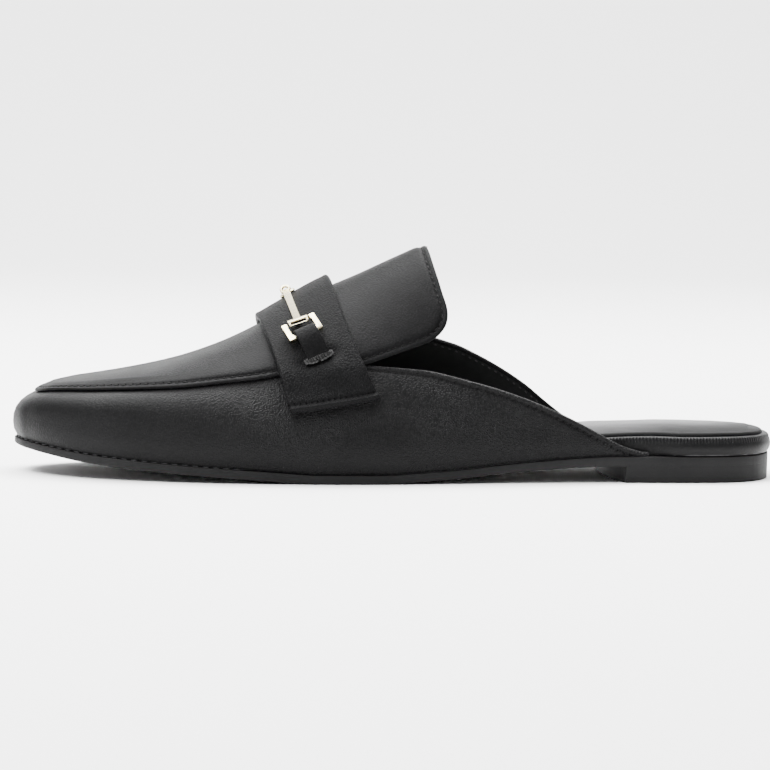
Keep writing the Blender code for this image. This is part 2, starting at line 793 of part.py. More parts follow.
def ring_shape(bm, radius, wire):
    """A closed round ring of round wire."""
    centre = Matrix.Translation((radius, 0, 0)) @ Matrix.Rotation(math.pi / 2, 4, "X")
    made = bmesh.ops.create_circle(bm, segments=6, radius=wire / 2, matrix=centre)
    edges = list({edge for vert in made["verts"] for edge in vert.link_edges})
    bmesh.ops.spin(bm, geom=edges + made["verts"], cent=(0, 0, 0), axis=(0, 0, 1),
                   angle=math.tau, steps=16, use_merge=True)
    bmesh.ops.remove_doubles(bm, verts=bm.verts, dist=WELD)


def joined(base, other, cutters, operation):
    """Adds a live Boolean and keeps the second shape out of the way."""
    for home in list(other.users_collection):
        home.objects.unlink(other)
    cutters.objects.link(other)
    other.hide_render = True
    other.display_type = "WIRE"
    boolean = base.modifiers.new(operation.lower(), "BOOLEAN")
    boolean.operation = operation
    boolean.solver = "EXACT"
    boolean.object = other


def bit_frame(side):
    """Axes of one bar of the bit, X running down to its crossbar, and the bar's length."""
    middle = strap_frame(BIT_PLACE, 0.0, LINK_LIFT)
    end = strap_frame(BIT_PLACE, side * BIT_END, TAB_BEND + GAP)
    above = Vector((0, 0, EYE_LIFT)) if side < 0 else Vector((0, LINK_RADIUS - LINK_WIRE / 2, 0))
    start = middle @ above
    run = (end.translation - start).normalized()
    off = (middle.col[2] + end.col[2]).to_3d()
    off = (off - run * off.dot(run)).normalized()
    frame = Matrix((run, off.cross(run), off)).transposed().to_4x4()
    frame.translation = start
    return frame, (end.translation - start).length


def bit_half(side, metal, parts, cutters):
    """Half of the bit: a flat bar from the middle down to its crossbar and stirrup legs.

    The outer bar ends in a small eye, and the inner one in a link that is open where
    the outer bar's neck passes through it.
    """
    name = "bit_outer" if side < 0 else "bit_inner"
    frame, length = bit_frame(side)
    if side < 0:
        ring_frame, radius, wire = frame, EYE_RADIUS - EYE_WIRE / 2, EYE_WIRE
        bar_start = EYE_RADIUS - EYE_WIRE + BIT_EDGE_ROUND
    else:
        ring_frame = strap_frame(BIT_PLACE, 0.0, LINK_LIFT)
        radius, wire = LINK_RADIUS - LINK_WIRE / 2, LINK_WIRE
        bar_start = 0.0
    leg_y = (CROSSBAR_LENGTH - STIRRUP_LEG) / 2
    boxes = [
        ((length - bar_start, BIT_BAR_WIDTH, BIT_BAR_THICKNESS), ((length + bar_start) / 2, 0, 0)),
        ((CROSSBAR_WIDTH, CROSSBAR_LENGTH, CROSSBAR_THICKNESS), (length, 0, 0)),
        ((STIRRUP_DEPTH, STIRRUP_LEG, STIRRUP_THICKNESS), (length + STIRRUP_DEPTH / 2, -leg_y, 0)),
        ((STIRRUP_DEPTH, STIRRUP_LEG, STIRRUP_THICKNESS), (length + STIRRUP_DEPTH / 2, leg_y, 0)),
    ]
    pieces = []
    for number, (size, centre) in enumerate(boxes):
        bm = bmesh.new()
        box_shape(bm, size, centre, BIT_EDGE_ROUND)
        pieces.append(finish(f"{name}_{number}" if number else name, bm, metal, parts))
        pieces[-1].matrix_world = frame
    bm = bmesh.new()
    ring_shape(bm, radius, wire)
    pieces.append(finish(name + "_eye", bm, metal, parts))
    pieces[-1].matrix_world = ring_frame
    for other in pieces[1:]:
        joined(pieces[0], other, cutters, "UNION")
    if side > 0:
        bm = bmesh.new()
        size = (2 * LINK_RADIUS, BIT_BAR_WIDTH + 2 * GAP, BIT_BAR_THICKNESS + 2 * GAP)
        box_shape(bm, size, (LINK_RADIUS, 0, 0), BIT_EDGE_ROUND)
        mouth = finish(name + "_mouth", bm, metal, parts)
        mouth.matrix_world = bit_frame(-1)[0]
        joined(pieces[0], mouth, cutters, "DIFFERENCE")


def ring_frame_at(side):
    """Axes of a ring: X hanging down over the strap from the crossbar's legs, Z off the leather."""
    frame, length = bit_frame(side)
    low = strap_frame(RING_PLACE, side * RING_END, 0.0)
    off = low.col[2].to_3d()
    run = low.col[1].to_3d() * -side
    run = run if run.z < 0 else -run
    hang = Matrix((run, off.cross(run).normalized(), off)).transposed().to_4x4()
    hang.translation = frame @ Vector((length + PIVOT_DROP, 0, 0))
    return hang


def bit_ring(side, metal, parts, cutters):
    """Rectangular ring; its upper side stops at the stirrup legs that it pivots on."""
    name = "ring_outer" if side < 0 else "ring_inner"
    hang = ring_frame_at(side)
    centre = ((RING_HEIGHT - RING_WIRE) / 2, 0, 0)
    through = 4 * RING_WIRE
    boxes = (
        ("outline", (RING_HEIGHT, RING_LENGTH, RING_WIRE), centre),
        ("hole", (RING_HEIGHT - 2 * RING_WIRE, RING_LENGTH - 2 * RING_WIRE, through), centre),
        ("mouth", (2 * RING_WIRE, CROSSBAR_LENGTH + 2 * GAP, through), (0, 0, 0)),
    )
    pieces = []
    for label, size, middle in boxes:
        bm = bmesh.new()
        box_shape(bm, size, middle, RING_EDGE_ROUND)
        pieces.append(finish(name if label == "outline" else f"{name}_{label}", bm, metal, parts))
        pieces[-1].matrix_world = hang
    for cutter in pieces[1:]:
        joined(pieces[0], cutter, cutters, "DIFFERENCE")


def tab_piece(side, material, parts):
    """Leather tab folded over the ring's lower bar, with both ends on the strap."""
    name = "tab_outer" if side < 0 else "tab_inner"
    bar_x = RING_HEIGHT - RING_WIRE
    foot_x = bar_x + TAB_LENGTH
    path = [(foot_x, TAB_THICKNESS + TAB_FOOT - TAB_BEND)]
    path += [(mix(bar_x, foot_x, row.along), TAB_BEND * row.lift) for row in TAB_SLOPE]
    for k in range(TAB_SEGMENTS):
        angle = math.pi * (0.5 + k / (TAB_SEGMENTS - 1))
        path.append((bar_x + math.cos(angle) * TAB_BEND, math.sin(angle) * TAB_BEND))
    path.append((mix(bar_x, foot_x, TAB_BACK), -TAB_BEND))
    half = TAB_WIDTH / 2
    columns = [[Vector((x, y, z)) for y in (-half, half)] for x, z in path]
    bm, _ = grid_sheet(columns, lambda cols, i, j: cols[i][j])
    middle = Vector((mix(bar_x, foot_x, TAB_BACK), 0, 0))
    toward = sum(face.normal.dot(middle - face.calc_center_median()) for face in bm.faces)
    inward = 1 if toward > 0 else -1
    thicken(bm, lambda vert: vert.normal * inward * TAB_THICKNESS)
    piece = finish(name, bm, material, parts)
    piece.matrix_world = ring_frame_at(side)


def principled(name, colour, roughness, metallic=0.0):
    material = bpy.data.materials.new(name)
    material.use_nodes = True
    shader = material.node_tree.nodes["Principled BSDF"]
    shader.inputs["Base Color"].default_value = colour
    shader.inputs["Roughness"].default_value = roughness
    shader.inputs["Metallic"].default_value = metallic
    material.diffuse_color = colour
    return material


def centre_on_floor(parts):
    """Moves every piece so that the origin lies under the middle of the shoe."""
    bpy.context.view_layer.update()
    graph = bpy.context.evaluated_depsgraph_get()
    corners = []
    for piece in parts.objects:
        shape = piece.evaluated_get(graph)
        corners += [shape.matrix_world @ Vector(corner) for corner in shape.bound_box]
    low = [min(corner[k] for corner in corners) for k in range(3)]
    high = [max(corner[k] for corner in corners) for k in range(3)]
    return Vector((-(low[0] + high[0]) / 2, -(low[1] + high[1]) / 2, -low[2]))


def main():
    for piece in list(bpy.data.objects):
        bpy.data.objects.remove(piece, do_unlink=True)
    parts = bpy.data.collections.new("flat_mule")
    cutters = bpy.data.collections.new("cutters")
    for collection in (parts, cutters):
        bpy.context.scene.collection.children.link(collection)
    materials = {
        "leather": principled("black_leather", LEATHER, 0.55),
        "rubber": principled("black_rubber", RUBBER, 0.7),
        "lining": principled("grey_lining", LINING, 0.45),
        "metal": principled("pale_gold", METAL, 0.2, 1.0),
    }
    sole_pieces(materials, parts)
    upper_piece(materials["leather"], parts)
    apron_piece(materials["leather"], parts)
    strap_piece(materials["leather"], parts)
    for side in (-1, 1):
        bit_half(side, materials["metal"], parts, cutters)
        bit_ring(side, materials["metal"], parts, cutters)
        tab_piece(side, materials["leather"], parts)
    shift = centre_on_floor(parts)
    for piece in list(parts.objects) + list(cutters.objects):
        piece.matrix_world = Matrix.Translation(shift) @ piece.matrix_world


main()
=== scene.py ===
"""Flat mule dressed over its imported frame: grained leather, stitches, lining, sole and snaffle bit.

Metres, +Z up. The toe points to -X and the outer side of the foot is at -Y, as in the frame.
While a piece is worked out, its length runs from 0 at the toe tip to LENGTH at the heel;
finishing a piece moves it to the frame's own origin.
"""

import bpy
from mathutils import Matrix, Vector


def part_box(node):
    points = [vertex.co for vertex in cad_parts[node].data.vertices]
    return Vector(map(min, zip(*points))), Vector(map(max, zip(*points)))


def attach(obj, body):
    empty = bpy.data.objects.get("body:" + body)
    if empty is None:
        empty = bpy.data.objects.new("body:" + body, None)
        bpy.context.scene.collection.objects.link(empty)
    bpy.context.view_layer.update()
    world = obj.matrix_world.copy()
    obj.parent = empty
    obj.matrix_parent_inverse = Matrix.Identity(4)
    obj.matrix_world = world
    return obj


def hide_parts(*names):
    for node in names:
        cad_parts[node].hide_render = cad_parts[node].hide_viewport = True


bl_info = {
    "name": "Flat mule",
    "version": (1, 0, 0),
    "blender": (4, 5, 0),
    "location": "3D View > Sidebar > Mule",
    "description": "Dresses the frame of a flat leather mule with a snaffle bit",
    "category": "Object",
}

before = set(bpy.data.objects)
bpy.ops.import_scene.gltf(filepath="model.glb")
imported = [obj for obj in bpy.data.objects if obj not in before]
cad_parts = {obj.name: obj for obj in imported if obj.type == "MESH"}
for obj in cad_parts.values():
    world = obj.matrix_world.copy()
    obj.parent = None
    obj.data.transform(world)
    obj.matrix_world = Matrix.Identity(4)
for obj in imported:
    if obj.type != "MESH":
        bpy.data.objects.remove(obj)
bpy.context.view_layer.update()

import math
from collections import namedtuple

import bmesh
import bpy
import numpy as np
from bpy.props import FloatProperty, FloatVectorProperty, PointerProperty
from mathutils import Matrix, Vector

BODY = "root"

# Sizes of the last that the shoe is built on
LENGTH = 0.256
BALL_WIDTH = 0.086
HEEL_WIDTH = 0.060
INSTEP_HEIGHT = 0.065
RIDGE_SHIFT = 0.003
NOSE_REACH = 0.088
NOSE_FULLNESS = 6.0
NOSE_ROUNDNESS = 2.75
RIDGE_SOFTNESS = 0.1

# Sole, heel and footbed
TOE_SPRING = 0.0093
HEEL_BLOCK_HEIGHT = 0.0054
SOLE_THICKNESS = 0.0030
SOLE_LIP = 0.0008
SOLE_EDGE_ROUND = 0.0005
BREAST_SHARE = 0.790
BREAST_BULGE = 0.003
HEEL_RAKE = 0.0001
FOOTBED_THICKNESS = 0.0062
FOOTBED_ROUND = 0.0012
FOOTBED_SWELL = 0.0006
FOOTBED_FOOT = 0.0005
FOOTBED_CLEARANCE = 0.0009
FLARE_START = 0.806
FLARE_LENGTH = 0.018
LINING_THICKNESS = 0.0009
LINING_EDGE_ROUND = 0.0006
LINING_INSET = 0.0014
LINING_CROWN = 0.0011

# Upper, apron and strap
WALL = 0.0018
THROAT_SHARE = 0.446
THROAT_CORNER_FRONT = 0.006
WING_END = 0.820
WING_TIP_HEIGHT = 0.0006
WING_TIP_LENGTH = 0.0003
WING_TUCK = 0.97
APRON_THICKNESS = 0.0015
APRON_EDGE = 0.0008
APRON_SKIVE = 0.0040
STRAP_THICKNESS = 0.0022
STRAP_CLEARANCE = 0.0004
STRAP_LIFT_FRONT = 0.0008
STRAP_LIFT_REAR = 0.0014
STRAP_LIFT_REACH = 0.6
STRAP_STEP = 0.11
STRAP_STEP_START = 0.015
STRAP_SWEEP = 2.6
STRAP_SPREAD = 1.35
STRAP_RUN = 0.115
STRAP_WIDTH = 0.029

# Snaffle bit and the tabs that hold it; places on the strap are shares of its width and half length
BIT_PLACE = 0.475
BIT_END_PLACE = 0.443
BIT_END = 0.447
RING_PLACE = 0.515
RING_END = 0.57
BIT_BAR_WIDTH = 0.0024
BIT_BAR_THICKNESS = 0.0014
BIT_EDGE_ROUND = 0.0003
BIT_SINK = 0.0008
CROSSBAR_WIDTH = 0.0016
CROSSBAR_THICKNESS = 0.0015
EYE_RADIUS = 0.0019
EYE_WIRE = 0.0011
EYE_TURN = math.radians(38.0)
LINK_RADIUS = 0.0028
LINK_WIRE = 0.0011
LINK_LIFT = 0.0006
EYE_LIFT = 0.0013
CROSSBAR_LENGTH = 0.0070
RING_LENGTH = 0.0121
RING_HEIGHT = 0.0075
RING_WIRE = 0.0017
RING_EDGE_ROUND = 0.0004
STIRRUP_LEG = 0.0007
STIRRUP_THICKNESS = 0.0013
STIRRUP_DEPTH = 0.0027
STIRRUP_BAR = 0.0004
PIVOT_DROP = 0.0017
RING_TURN = math.radians(10.0)
RING_SLIP = 0.0001
TAB_WIDTH = 0.0076
TAB_LENGTH = 0.0096
TAB_THICKNESS = 0.0010
TAB_FOOT = 0.0004
TAB_TAIL = 0.3
TAB_MIDDLE = 0.4

# Fall of a tab from the ring to its foot: shares of the way there, and of the bend's height
TAB_FALL = ((0.5, 0.62), (0.2, 0.96))

# Heavy thread bar that sews a tab down
TACK_LENGTH = 0.0092
TACK_WIDTH = 0.0026
TACK_RISE = 0.0009
TACK_THREADS = 15
TACK_DENT = 0.0010
TACK_DENT_REACH = 0.0026
TACK_BOW = 0.85
TACK_TWIST = 0.35
TACK_TWIST_STEP = 2.1
TACK_OVERLAP = 1.3
TACK_HEIGHT_SHARE = 2.2
TackRim = namedtuple("TackRim", "across along up")
TACK_RIM_SHARE = TackRim(0.56, 0.54, 0.55)
TACK_RIM_WAVE = 0.06
TACK_RIM_WAVES = 9
TACK_RIM_POINTS = 48
TACK_RIM_PITCH = 0.0011
TACK_RIM_STITCH = 0.0014
TACK_RIM_THREAD = 0.0007

# Where a tab's foot is looked for on the strap: first and last share, and how many places
TACK_SEARCH_ACROSS = (0.3, 0.8, 51)
TACK_SEARCH_ALONG = (0.4, 0.9, 101)

# Beads, troughs and rounding beside the edges of the leather
BEAD_PLACE = 0.0009
BEAD_WIDTH = 0.0007
TROUGH_WIDTH = 0.0005
RIM_FULLNESS = 2.6
TURNED_IN = 0.0012
HEM_START = 0.012
HEM_RUN = 0.010
CREASE_CLEAR = 0.002
CREASE_FADE = 0.006
APRON_BEAD_SHARE = 0.4
APRON_BEAD_PLACE = 0.0007
APRON_TURNED_IN = 0.0004
STRAP_FULLNESS = 2.8
STRAP_BEAD_SHARE = 0.5
STRAP_BEAD_WIDTH = 0.0005
STRAP_END_SHARE = 1.5
STRAP_END_WIDTH = 0.0004
STRAP_TROUGH_SHARE = 1.2
STRAP_TROUGH_WIDTH = 0.0006

# Pressed line and swell inside the apron's edge, round the toe only
Relief = namedtuple("Relief", "place width height")
TOE_RELIEF = (
    Relief(0.0036, 0.0010, -0.00022),
    Relief(0.0056, 0.0016, 0.00018),
)
TOE_RELIEF_END = 0.030
TOE_RELIEF_FADE = 0.050

# Edges of the sole, the heel and the sock lining
SOLE_TOP_ROUND_SHARE = 0.6
HEEL_EDGE_ROUND = 0.0003
LINING_SLOPE = 0.004
LINING_SHOULDER = 0.2
Wave = namedtuple("Wave", "height run turn")
LINING_WAVES = (Wave(0.00045, 0.0041, 0.0), Wave(0.00016, 0.0017, 1.0))
FAR_SIDE_RUN = 0.3

# Stitches: how deep they sink, as a share of their width, and where each row starts
STITCH_SINK = 0.35
SHALLOW_SINK = 0.1
STITCH_FLATNESS = 0.9
ROW_AHEAD = 0.004
WING_ROW_SIDE = 0.016
WING_ROW_START = 0.002
INSIDE_STITCH_SHARE = 0.6
APRON_ROW_START = 0.001
STRAP_ROW_START = 0.0008
STRAP_PITCH = 0.0019
STRAP_STITCH_SHARE = 0.72
STRAP_THREAD_SHARE = 1.25
WELT_START_TURN = 0.02
WELT_SAMPLES = 420
WELT_INSET = 0.0007
WELT_RISE = 0.0001
WELT_STITCH_SHARE = 0.62
WELT_THREAD_SHARE = 0.8

# How a stitch line is read off a sheet: the strip taken, its step, and how widely it is blurred
ROW_BAND = 0.0009
ROW_STEP = 0.0012
ROW_REACH = 0.0022
ROW_BLUR_ACROSS = 0.0004
ROW_BLUR_ALONG = 0.001

# Grain of the leather with its painted highlight and shade, its patches, and the dent of each stitch hole,
# which is also painted dark as shade
PEBBLE_BEND_SCALE = 900.0
PEBBLE_BEND = 0.2
PEBBLE_SMOOTHNESS = 0.25
PEBBLE_RANGE = (0.05, 0.8)
PORES_PER_PEBBLE = 2.6
PORE_DEPTH = 0.10
PATCH_SCALE = 38.0
PATCH_RANGE = (0.3, 0.7)
TOE_GRAIN = 0.3
HOLE_SHARE = 0.42
DENT_REACH = 0.0006
DENT_DEPTH = 2.6

# Pleats of the footbed's wrap with their painted highlight and shade, the painted glint at its foot, and
# the sock lining's gloss with its painted shade
PLEAT_PITCH = 0.0011
PLEAT_ROW = 0.0011
PLEAT_REACH = 0.0014
PAINTED_GLINT_REACH = 0.0006
PAINTED_SHADE_AND_GLOSS_WAVER = 0.012
PAINTED_SHADE_AND_GLOSS_SLANT = 0.28
PAINTED_SHADE_AND_GLOSS_RANGE = (-0.044, -0.012)

# Floor with its sweep, what the lights face, and the camera's sensor in millimetres
FLOOR_ROWS = 60
FLOOR_HALF_WIDTH = 4.0
FLOOR_NEAR = -3.0
FLOOR_BEND = 1.6
FLOOR_RADIUS = 1.2
FLOOR_TOP = 3.0
FLOOR_FLAT_SHARE = 0.3
FLOOR_BEND_SHARE = 0.8
SHOE_MIDDLE = (0.0, 0.0, 0.03)
SWEEP_MIDDLE = (0.0, 2.4, 0.2)
SENSOR_WIDTH = 36.0

# Both sides of the shoe, then clearances and the angles that stay sharp
SIDE_WORDS = ((-1, "outer"), (1, "inner"))
GAP = 0.0003
TAB_SLACK = 0.0003
TAB_BEND = RING_WIRE / 2 + TAB_SLACK + GAP + TAB_THICKNESS
WELD = 0.000001
SOFT_ANGLE = math.radians(50.0)
METAL_ANGLE = math.radians(20.0)
MM = 0.001

# Half widths of the widest line seen from above, as shares of the width there
Plan = namedtuple("Plan", "along outer inner")
PLAN = (
    Plan(0.000, -0.035, 0.035),
    Plan(0.008, 0.081, 0.145),
    Plan(0.020, 0.145, 0.209),
    Plan(0.039, 0.215, 0.273),
    Plan(0.070, 0.291, 0.337),
    Plan(0.117, 0.366, 0.393),
    Plan(0.176, 0.430, 0.436),
    Plan(0.234, 0.471, 0.465),
    Plan(0.293, 0.493, 0.480),
    Plan(0.352, 0.503, 0.477),
    Plan(0.410, 0.503, 0.459),
    Plan(0.469, 0.499, 0.438),
    Plan(0.527, 0.495, 0.424),
    Plan(0.586, 0.492, 0.422),
    Plan(0.645, 0.496, 0.432),
    Plan(0.703, 0.504, 0.453),
    Plan(0.762, 0.511, 0.479),
    Plan(0.820, 0.510, 0.493),
    Plan(0.879, 0.500, 0.492),
    Plan(0.930, 0.467, 0.463),
    Plan(0.965, 0.380, 0.383),
    Plan(0.984, 0.275, 0.283),
    Plan(0.996, 0.142, 0.158),
    Plan(1.000, -0.008, 0.008),
)
HEEL_BLEND = (0.41, 0.82)

# Cross-sections: roof and belly are shares of INSTEP_HEIGHT, tuck is a share of BALL_WIDTH
Section = namedtuple("Section", "along roof belly tuck squareness")
SECTIONS = (
    Section(0.000, 0.460, 0.246, 0.017, 3.00),
    Section(0.045, 0.463, 0.234, 0.019, 4.00),
    Section(0.090, 0.468, 0.220, 0.021, 4.30),
    Section(0.130, 0.485, 0.211, 0.023, 4.10),
    Section(0.180, 0.521, 0.203, 0.025, 3.40),
    Section(0.220, 0.562, 0.198, 0.027, 2.85),
    Section(0.270, 0.635, 0.194, 0.029, 2.25),
    Section(0.310, 0.711, 0.191, 0.030, 1.88),
    Section(0.352, 0.805, 0.188, 0.030, 1.66),
    Section(0.400, 0.912, 0.185, 0.029, 1.53),
    Section(0.450, 0.999, 0.185, 0.028, 1.46),
    Section(0.500, 1.092, 0.188, 0.026, 1.43),
    Section(0.531, 1.148, 0.192, 0.025, 1.42),
    Section(0.586, 1.237, 0.200, 0.023, 1.42),
    Section(0.700, 1.350, 0.208, 0.018, 1.42),
    Section(0.840, 1.415, 0.200, 0.013, 1.42),
    Section(1.000, 1.415, 0.200, 0.012, 1.42),
)

# Underside: spring is a share of TOE_SPRING, rise of HEEL_BLOCK_HEIGHT, body of SOLE_THICKNESS
Sole = namedtuple("Sole", "along spring rise body")
SOLE = (
    Sole(0.000, 1.00, 0.00, 0.72),
    Sole(0.046, 0.78, 0.00, 0.83),
    Sole(0.097, 0.56, 0.00, 0.92),
    Sole(0.161, 0.39, 0.00, 0.97),
    Sole(0.237, 0.24, 0.00, 1.00),
    Sole(0.287, 0.16, 0.00, 1.00),
    Sole(0.338, 0.08, 0.00, 1.00),
    Sole(0.387, 0.00, 0.00, 1.00),
    Sole(0.473, 0.00, 0.00, 1.00),
    Sole(0.517, 0.00, 0.13, 0.98),
    Sole(0.571, 0.00, 0.31, 0.96),
    Sole(0.625, 0.00, 0.58, 0.96),
    Sole(0.678, 0.00, 0.79, 0.98),
    Sole(0.731, 0.00, 0.94, 1.04),
    Sole(0.780, 0.00, 1.00, 1.12),
    Sole(1.000, 0.00, 1.00, 1.13),
)

# Footbed thickness as a share of FOOTBED_THICKNESS
Bed = namedtuple("Bed", "along body")
BED = (
    Bed(0.00, 0.42),
    Bed(0.45, 0.42),
    Bed(0.62, 0.62),
    Bed(0.76, 0.92),
    Bed(0.84, 1.00),
    Bed(1.00, 1.00),
)

# Height of the upper's top edge behind the throat, as shares of INSTEP_HEIGHT
Topline = namedtuple("Topline", "along outer inner")
TOPLINE = (
    Topline(0.446, 0.596, 0.700),
    Topline(0.523, 0.573, 0.714),
    Topline(0.589, 0.514, 0.656),
    Topline(0.622, 0.478, 0.598),
    Topline(0.656, 0.433, 0.525),
    Topline(0.690, 0.379, 0.437),
    Topline(0.722, 0.320, 0.334),
    Topline(0.755, 0.252, 0.242),
    Topline(0.791, 0.178, 0.180),
    Topline(0.820, 0.142, 0.142),
)

# Apron seam, as a share of the way from the middle out to the widest line
Seam = namedtuple("Seam", "along share")
SEAM = (
    Seam(0.000, 0.915),
    Seam(0.037, 0.911),
    Seam(0.074, 0.904),
    Seam(0.117, 0.899),
    Seam(0.184, 0.872),
    Seam(0.273, 0.806),
    Seam(0.344, 0.769),
    Seam(0.446, 0.762),
)

# Free edge of the tongue, from the throat round its corner to the middle
Edge = namedtuple("Edge", "along share")
TONGUE = (
    Edge(0.446, 0.762),
    Edge(0.491, 0.736),
    Edge(0.528, 0.719),
    Edge(0.5455, 0.697),
    Edge(0.5556, 0.657),
    Edge(0.5576, 0.595),
    Edge(0.5520, 0.490),
    Edge(0.5446, 0.300),
    Edge(0.5412, 0.120),
    Edge(0.5405, 0.000),
)

# Strap: place of each end corner, and of the crossing of the middle line
StrapEdge = namedtuple("StrapEdge", "middle end_along end_share")
STRAP_FRONT = StrapEdge(0.325, 0.350, 0.942)
STRAP_REAR = StrapEdge(0.4185, 0.466, 0.898)

# Where the grain grows from fine to full behind the toe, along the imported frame's X
GRAIN_FADE = (-0.110, -0.045)

# How finely each piece is divided
FAN_COLUMNS = 132
RIDGE_COLUMNS = 14
THROAT_COLUMNS = 14
WING_COLUMNS = 46
UPPER_ROWS = 40
APRON_ROWS = 30
TONGUE_COLUMNS = 48
STRAP_COLUMNS = 110
STRAP_ROWS = 26
PLATE_STEPS = 7
PLATE_COLUMNS = 8
PATH_SAMPLES = 96
FINE_STEPS = 40
RIM_STEPS = 5
TAB_ROWS = 8
TAB_BEND_POINTS = 13
TAB_POINTS = 60

# The welt's stitches show only round the toe
WELT_END = 0.30

# The rows inside the wings stop before the wall tucks under the footbed
INSIDE_ROW_END = 0.72

# Rows close to a folded edge, as millimetres in from it
EDGE_ROWS = (0.0, 0.05, 0.18, 0.38, 0.62, 0.9, 1.2, 1.5, 1.8, 2.1, 2.4, 2.8, 3.3, 4.0, 5.0)

# Soft creases on the sides of the upper: stations, heights and widths in millimetres, depth as a share
Crease = namedtuple("Crease", "side from_s from_z to_s to_z width depth")
CREASES = (
    Crease(-1, 118, 27, 150, 19, 4.5, 0.9),
    Crease(-1, 126, 33, 168, 22, 4.0, -0.6),
    Crease(-1, 112, 18, 142, 11, 5.0, 0.7),
    Crease(-1, 84, 20, 112, 13, 5.5, 0.5),
    Crease(-1, 60, 24, 88, 17, 6.0, -0.4),
    Crease(-1, 150, 25, 186, 14, 3.6, 0.5),
    Crease(1, 118, 26, 152, 17, 4.5, 0.9),
    Crease(1, 128, 35, 166, 21, 4.2, -0.6),
    Crease(1, 92, 19, 124, 12, 5.5, 0.6),
    Crease(1, 62, 23, 92, 16, 6.0, -0.4),
)


class Curve:
    """One column of a table, eased between its rows without overshooting them."""

    def __init__(self, rows, column):
        self.at = np.array([row.along for row in rows])
        self.value = np.array([getattr(row, column) for row in rows])
        steps = np.diff(self.value) / np.diff(self.at)
        slopes = [steps[0]]
        for before, after in zip(steps, steps[1:]):
            slopes.append(2 * before * after / (before + after) if before * after > 0 else 0.0)
        self.slope = np.array(slopes + [steps[-1]])

    def __call__(self, along):
        along = np.clip(along, self.at[0], self.at[-1])
        i = np.clip(np.searchsorted(self.at, along, side="right") - 1, 0, len(self.at) - 2)
        width = self.at[i + 1] - self.at[i]
        t = (along - self.at[i]) / width
        start = self.value[i] * (2 * t**3 - 3 * t**2 + 1) + self.slope[i] * width * (t**3 - 2 * t**2 + t)
        end = self.value[i + 1] * (3 * t**2 - 2 * t**3) + self.slope[i + 1] * width * (t**3 - t**2)
        return start + end


roof_curve = Curve(SECTIONS, "roof")
belly_curve = Curve(SECTIONS, "belly")
tuck_curve = Curve(SECTIONS, "tuck")
squareness_curve = Curve(SECTIONS, "squareness")
spring_curve = Curve(SOLE, "spring")
rise_curve = Curve(SOLE, "rise")
body_curve = Curve(SOLE, "body")
bed_curve = Curve(BED, "body")
topline_curves = {-1: Curve(TOPLINE, "outer"), 1: Curve(TOPLINE, "inner")}
seam_curve = Curve(SEAM, "share")


def smoothstep(value):
    value = np.clip(value, 0.0, 1.0)
    return value * value * (3 - 2 * value)


def mix(a, b, share):
    return a + (b - a) * share


def bell(distance, width):
    """1 at distance 0, falling softly to 0 past width."""
    return np.exp(-((distance / width) ** 2))


def unit(vectors):
    return vectors / np.maximum(np.linalg.norm(vectors, axis=-1, keepdims=True), WELD)


def width_at(along):
    start, end = HEEL_BLEND
    return mix(BALL_WIDTH, HEEL_WIDTH, smoothstep((along - start) / (end - start)))


def plan_line(side):
    """Plan points of one side, with the other side's neighbours past the two tips."""
    last = len(PLAN) - 1
    wanted = [(1, -side)] + [(i, side) for i in range(last + 1)] + [(last - 1, -side)]
    points = []
    for index, way in wanted:
        row = PLAN[index]
        half = row.outer if way < 0 else row.inner
        points.append((row.along * LENGTH, way * half * width_at(row.along)))
    return np.array(points)


PLAN_LINES = {side: plan_line(side) for side in (-1, 1)}


def outline(turn, side, inset=0.0):
    """Plan points of the widest line; turn counts the plan's rows from the toe tip."""
    turn = np.clip(np.asarray(turn, float), 0.0, len(PLAN) - 1.0)
    index = np.minimum(turn.astype(int), len(PLAN) - 2)
    t = (turn - index)[..., None]
    a, b, c, d = (PLAN_LINES[side][index + k] for k in range(4))
    point = 0.5 * (2 * b + (c - a) * t + (2 * a - 5 * b + 4 * c - d) * t**2
                   + (3 * b - a - 3 * c + d) * t**3)
    run = 0.5 * ((c - a) + (2 * a - 5 * b + 4 * c - d) * 2 * t + (3 * b - a - 3 * c + d) * 3 * t**2)
    inward = unit(np.stack((run[..., 1], -run[..., 0]), -1)) * side
    return point + inward * np.asarray(inset, float)[..., None]


FINE_TURNS = np.linspace(0.0, len(PLAN) - 1.0, FINE_STEPS * len(PLAN))
FINE_LINE = {side: outline(FINE_TURNS, side) for side in (-1, 1)}


def turn_at(s):
    return np.interp(s, FINE_LINE[-1][:, 0], FINE_TURNS)


def reach(s, side):
    """Distance from the middle line to the widest line at one station."""
    found = [np.abs(np.interp(s, FINE_LINE[k][:, 0], FINE_LINE[k][:, 1]) - RIDGE_SHIFT) for k in (-1, 1)]
    return np.maximum(np.where(np.asarray(side) < 0, found[0], found[1]), WELD)


def underside(s):
    along = s / LENGTH
    return TOE_SPRING * spring_curve(along) + HEEL_BLOCK_HEIGHT * rise_curve(along)


def sole_top(s):
    return underside(s) + SOLE_THICKNESS * body_curve(s / LENGTH)


def bed_top(s):
    return sole_top(s) + GAP + FOOTBED_THICKNESS * bed_curve(s / LENGTH)


def belly(s):
    return INSTEP_HEIGHT * belly_curve(s / LENGTH)


def tuck(s):
    return BALL_WIDTH * tuck_curve(s / LENGTH)


def nose(s):
    """How much of the roof's height the toe has reached, 0 at the tip and 1 behind it."""
    behind = np.clip(1 - s / NOSE_REACH, 0.0, 1.0)
    return (1 - behind**NOSE_FULLNESS) ** (1 / NOSE_ROUNDNESS)


def roof_rise(s):
    return (INSTEP_HEIGHT * roof_curve(s / LENGTH) - belly(s)) * nose(s)


SOFT_SPAN = math.hypot(1, RIDGE_SOFTNESS) - RIDGE_SOFTNESS


def soften(share):
    """Rounds the ridge of a section, which its exponent would leave pinched."""
    return (np.hypot(share, RIDGE_SOFTNESS) - RIDGE_SOFTNESS) / SOFT_SPAN


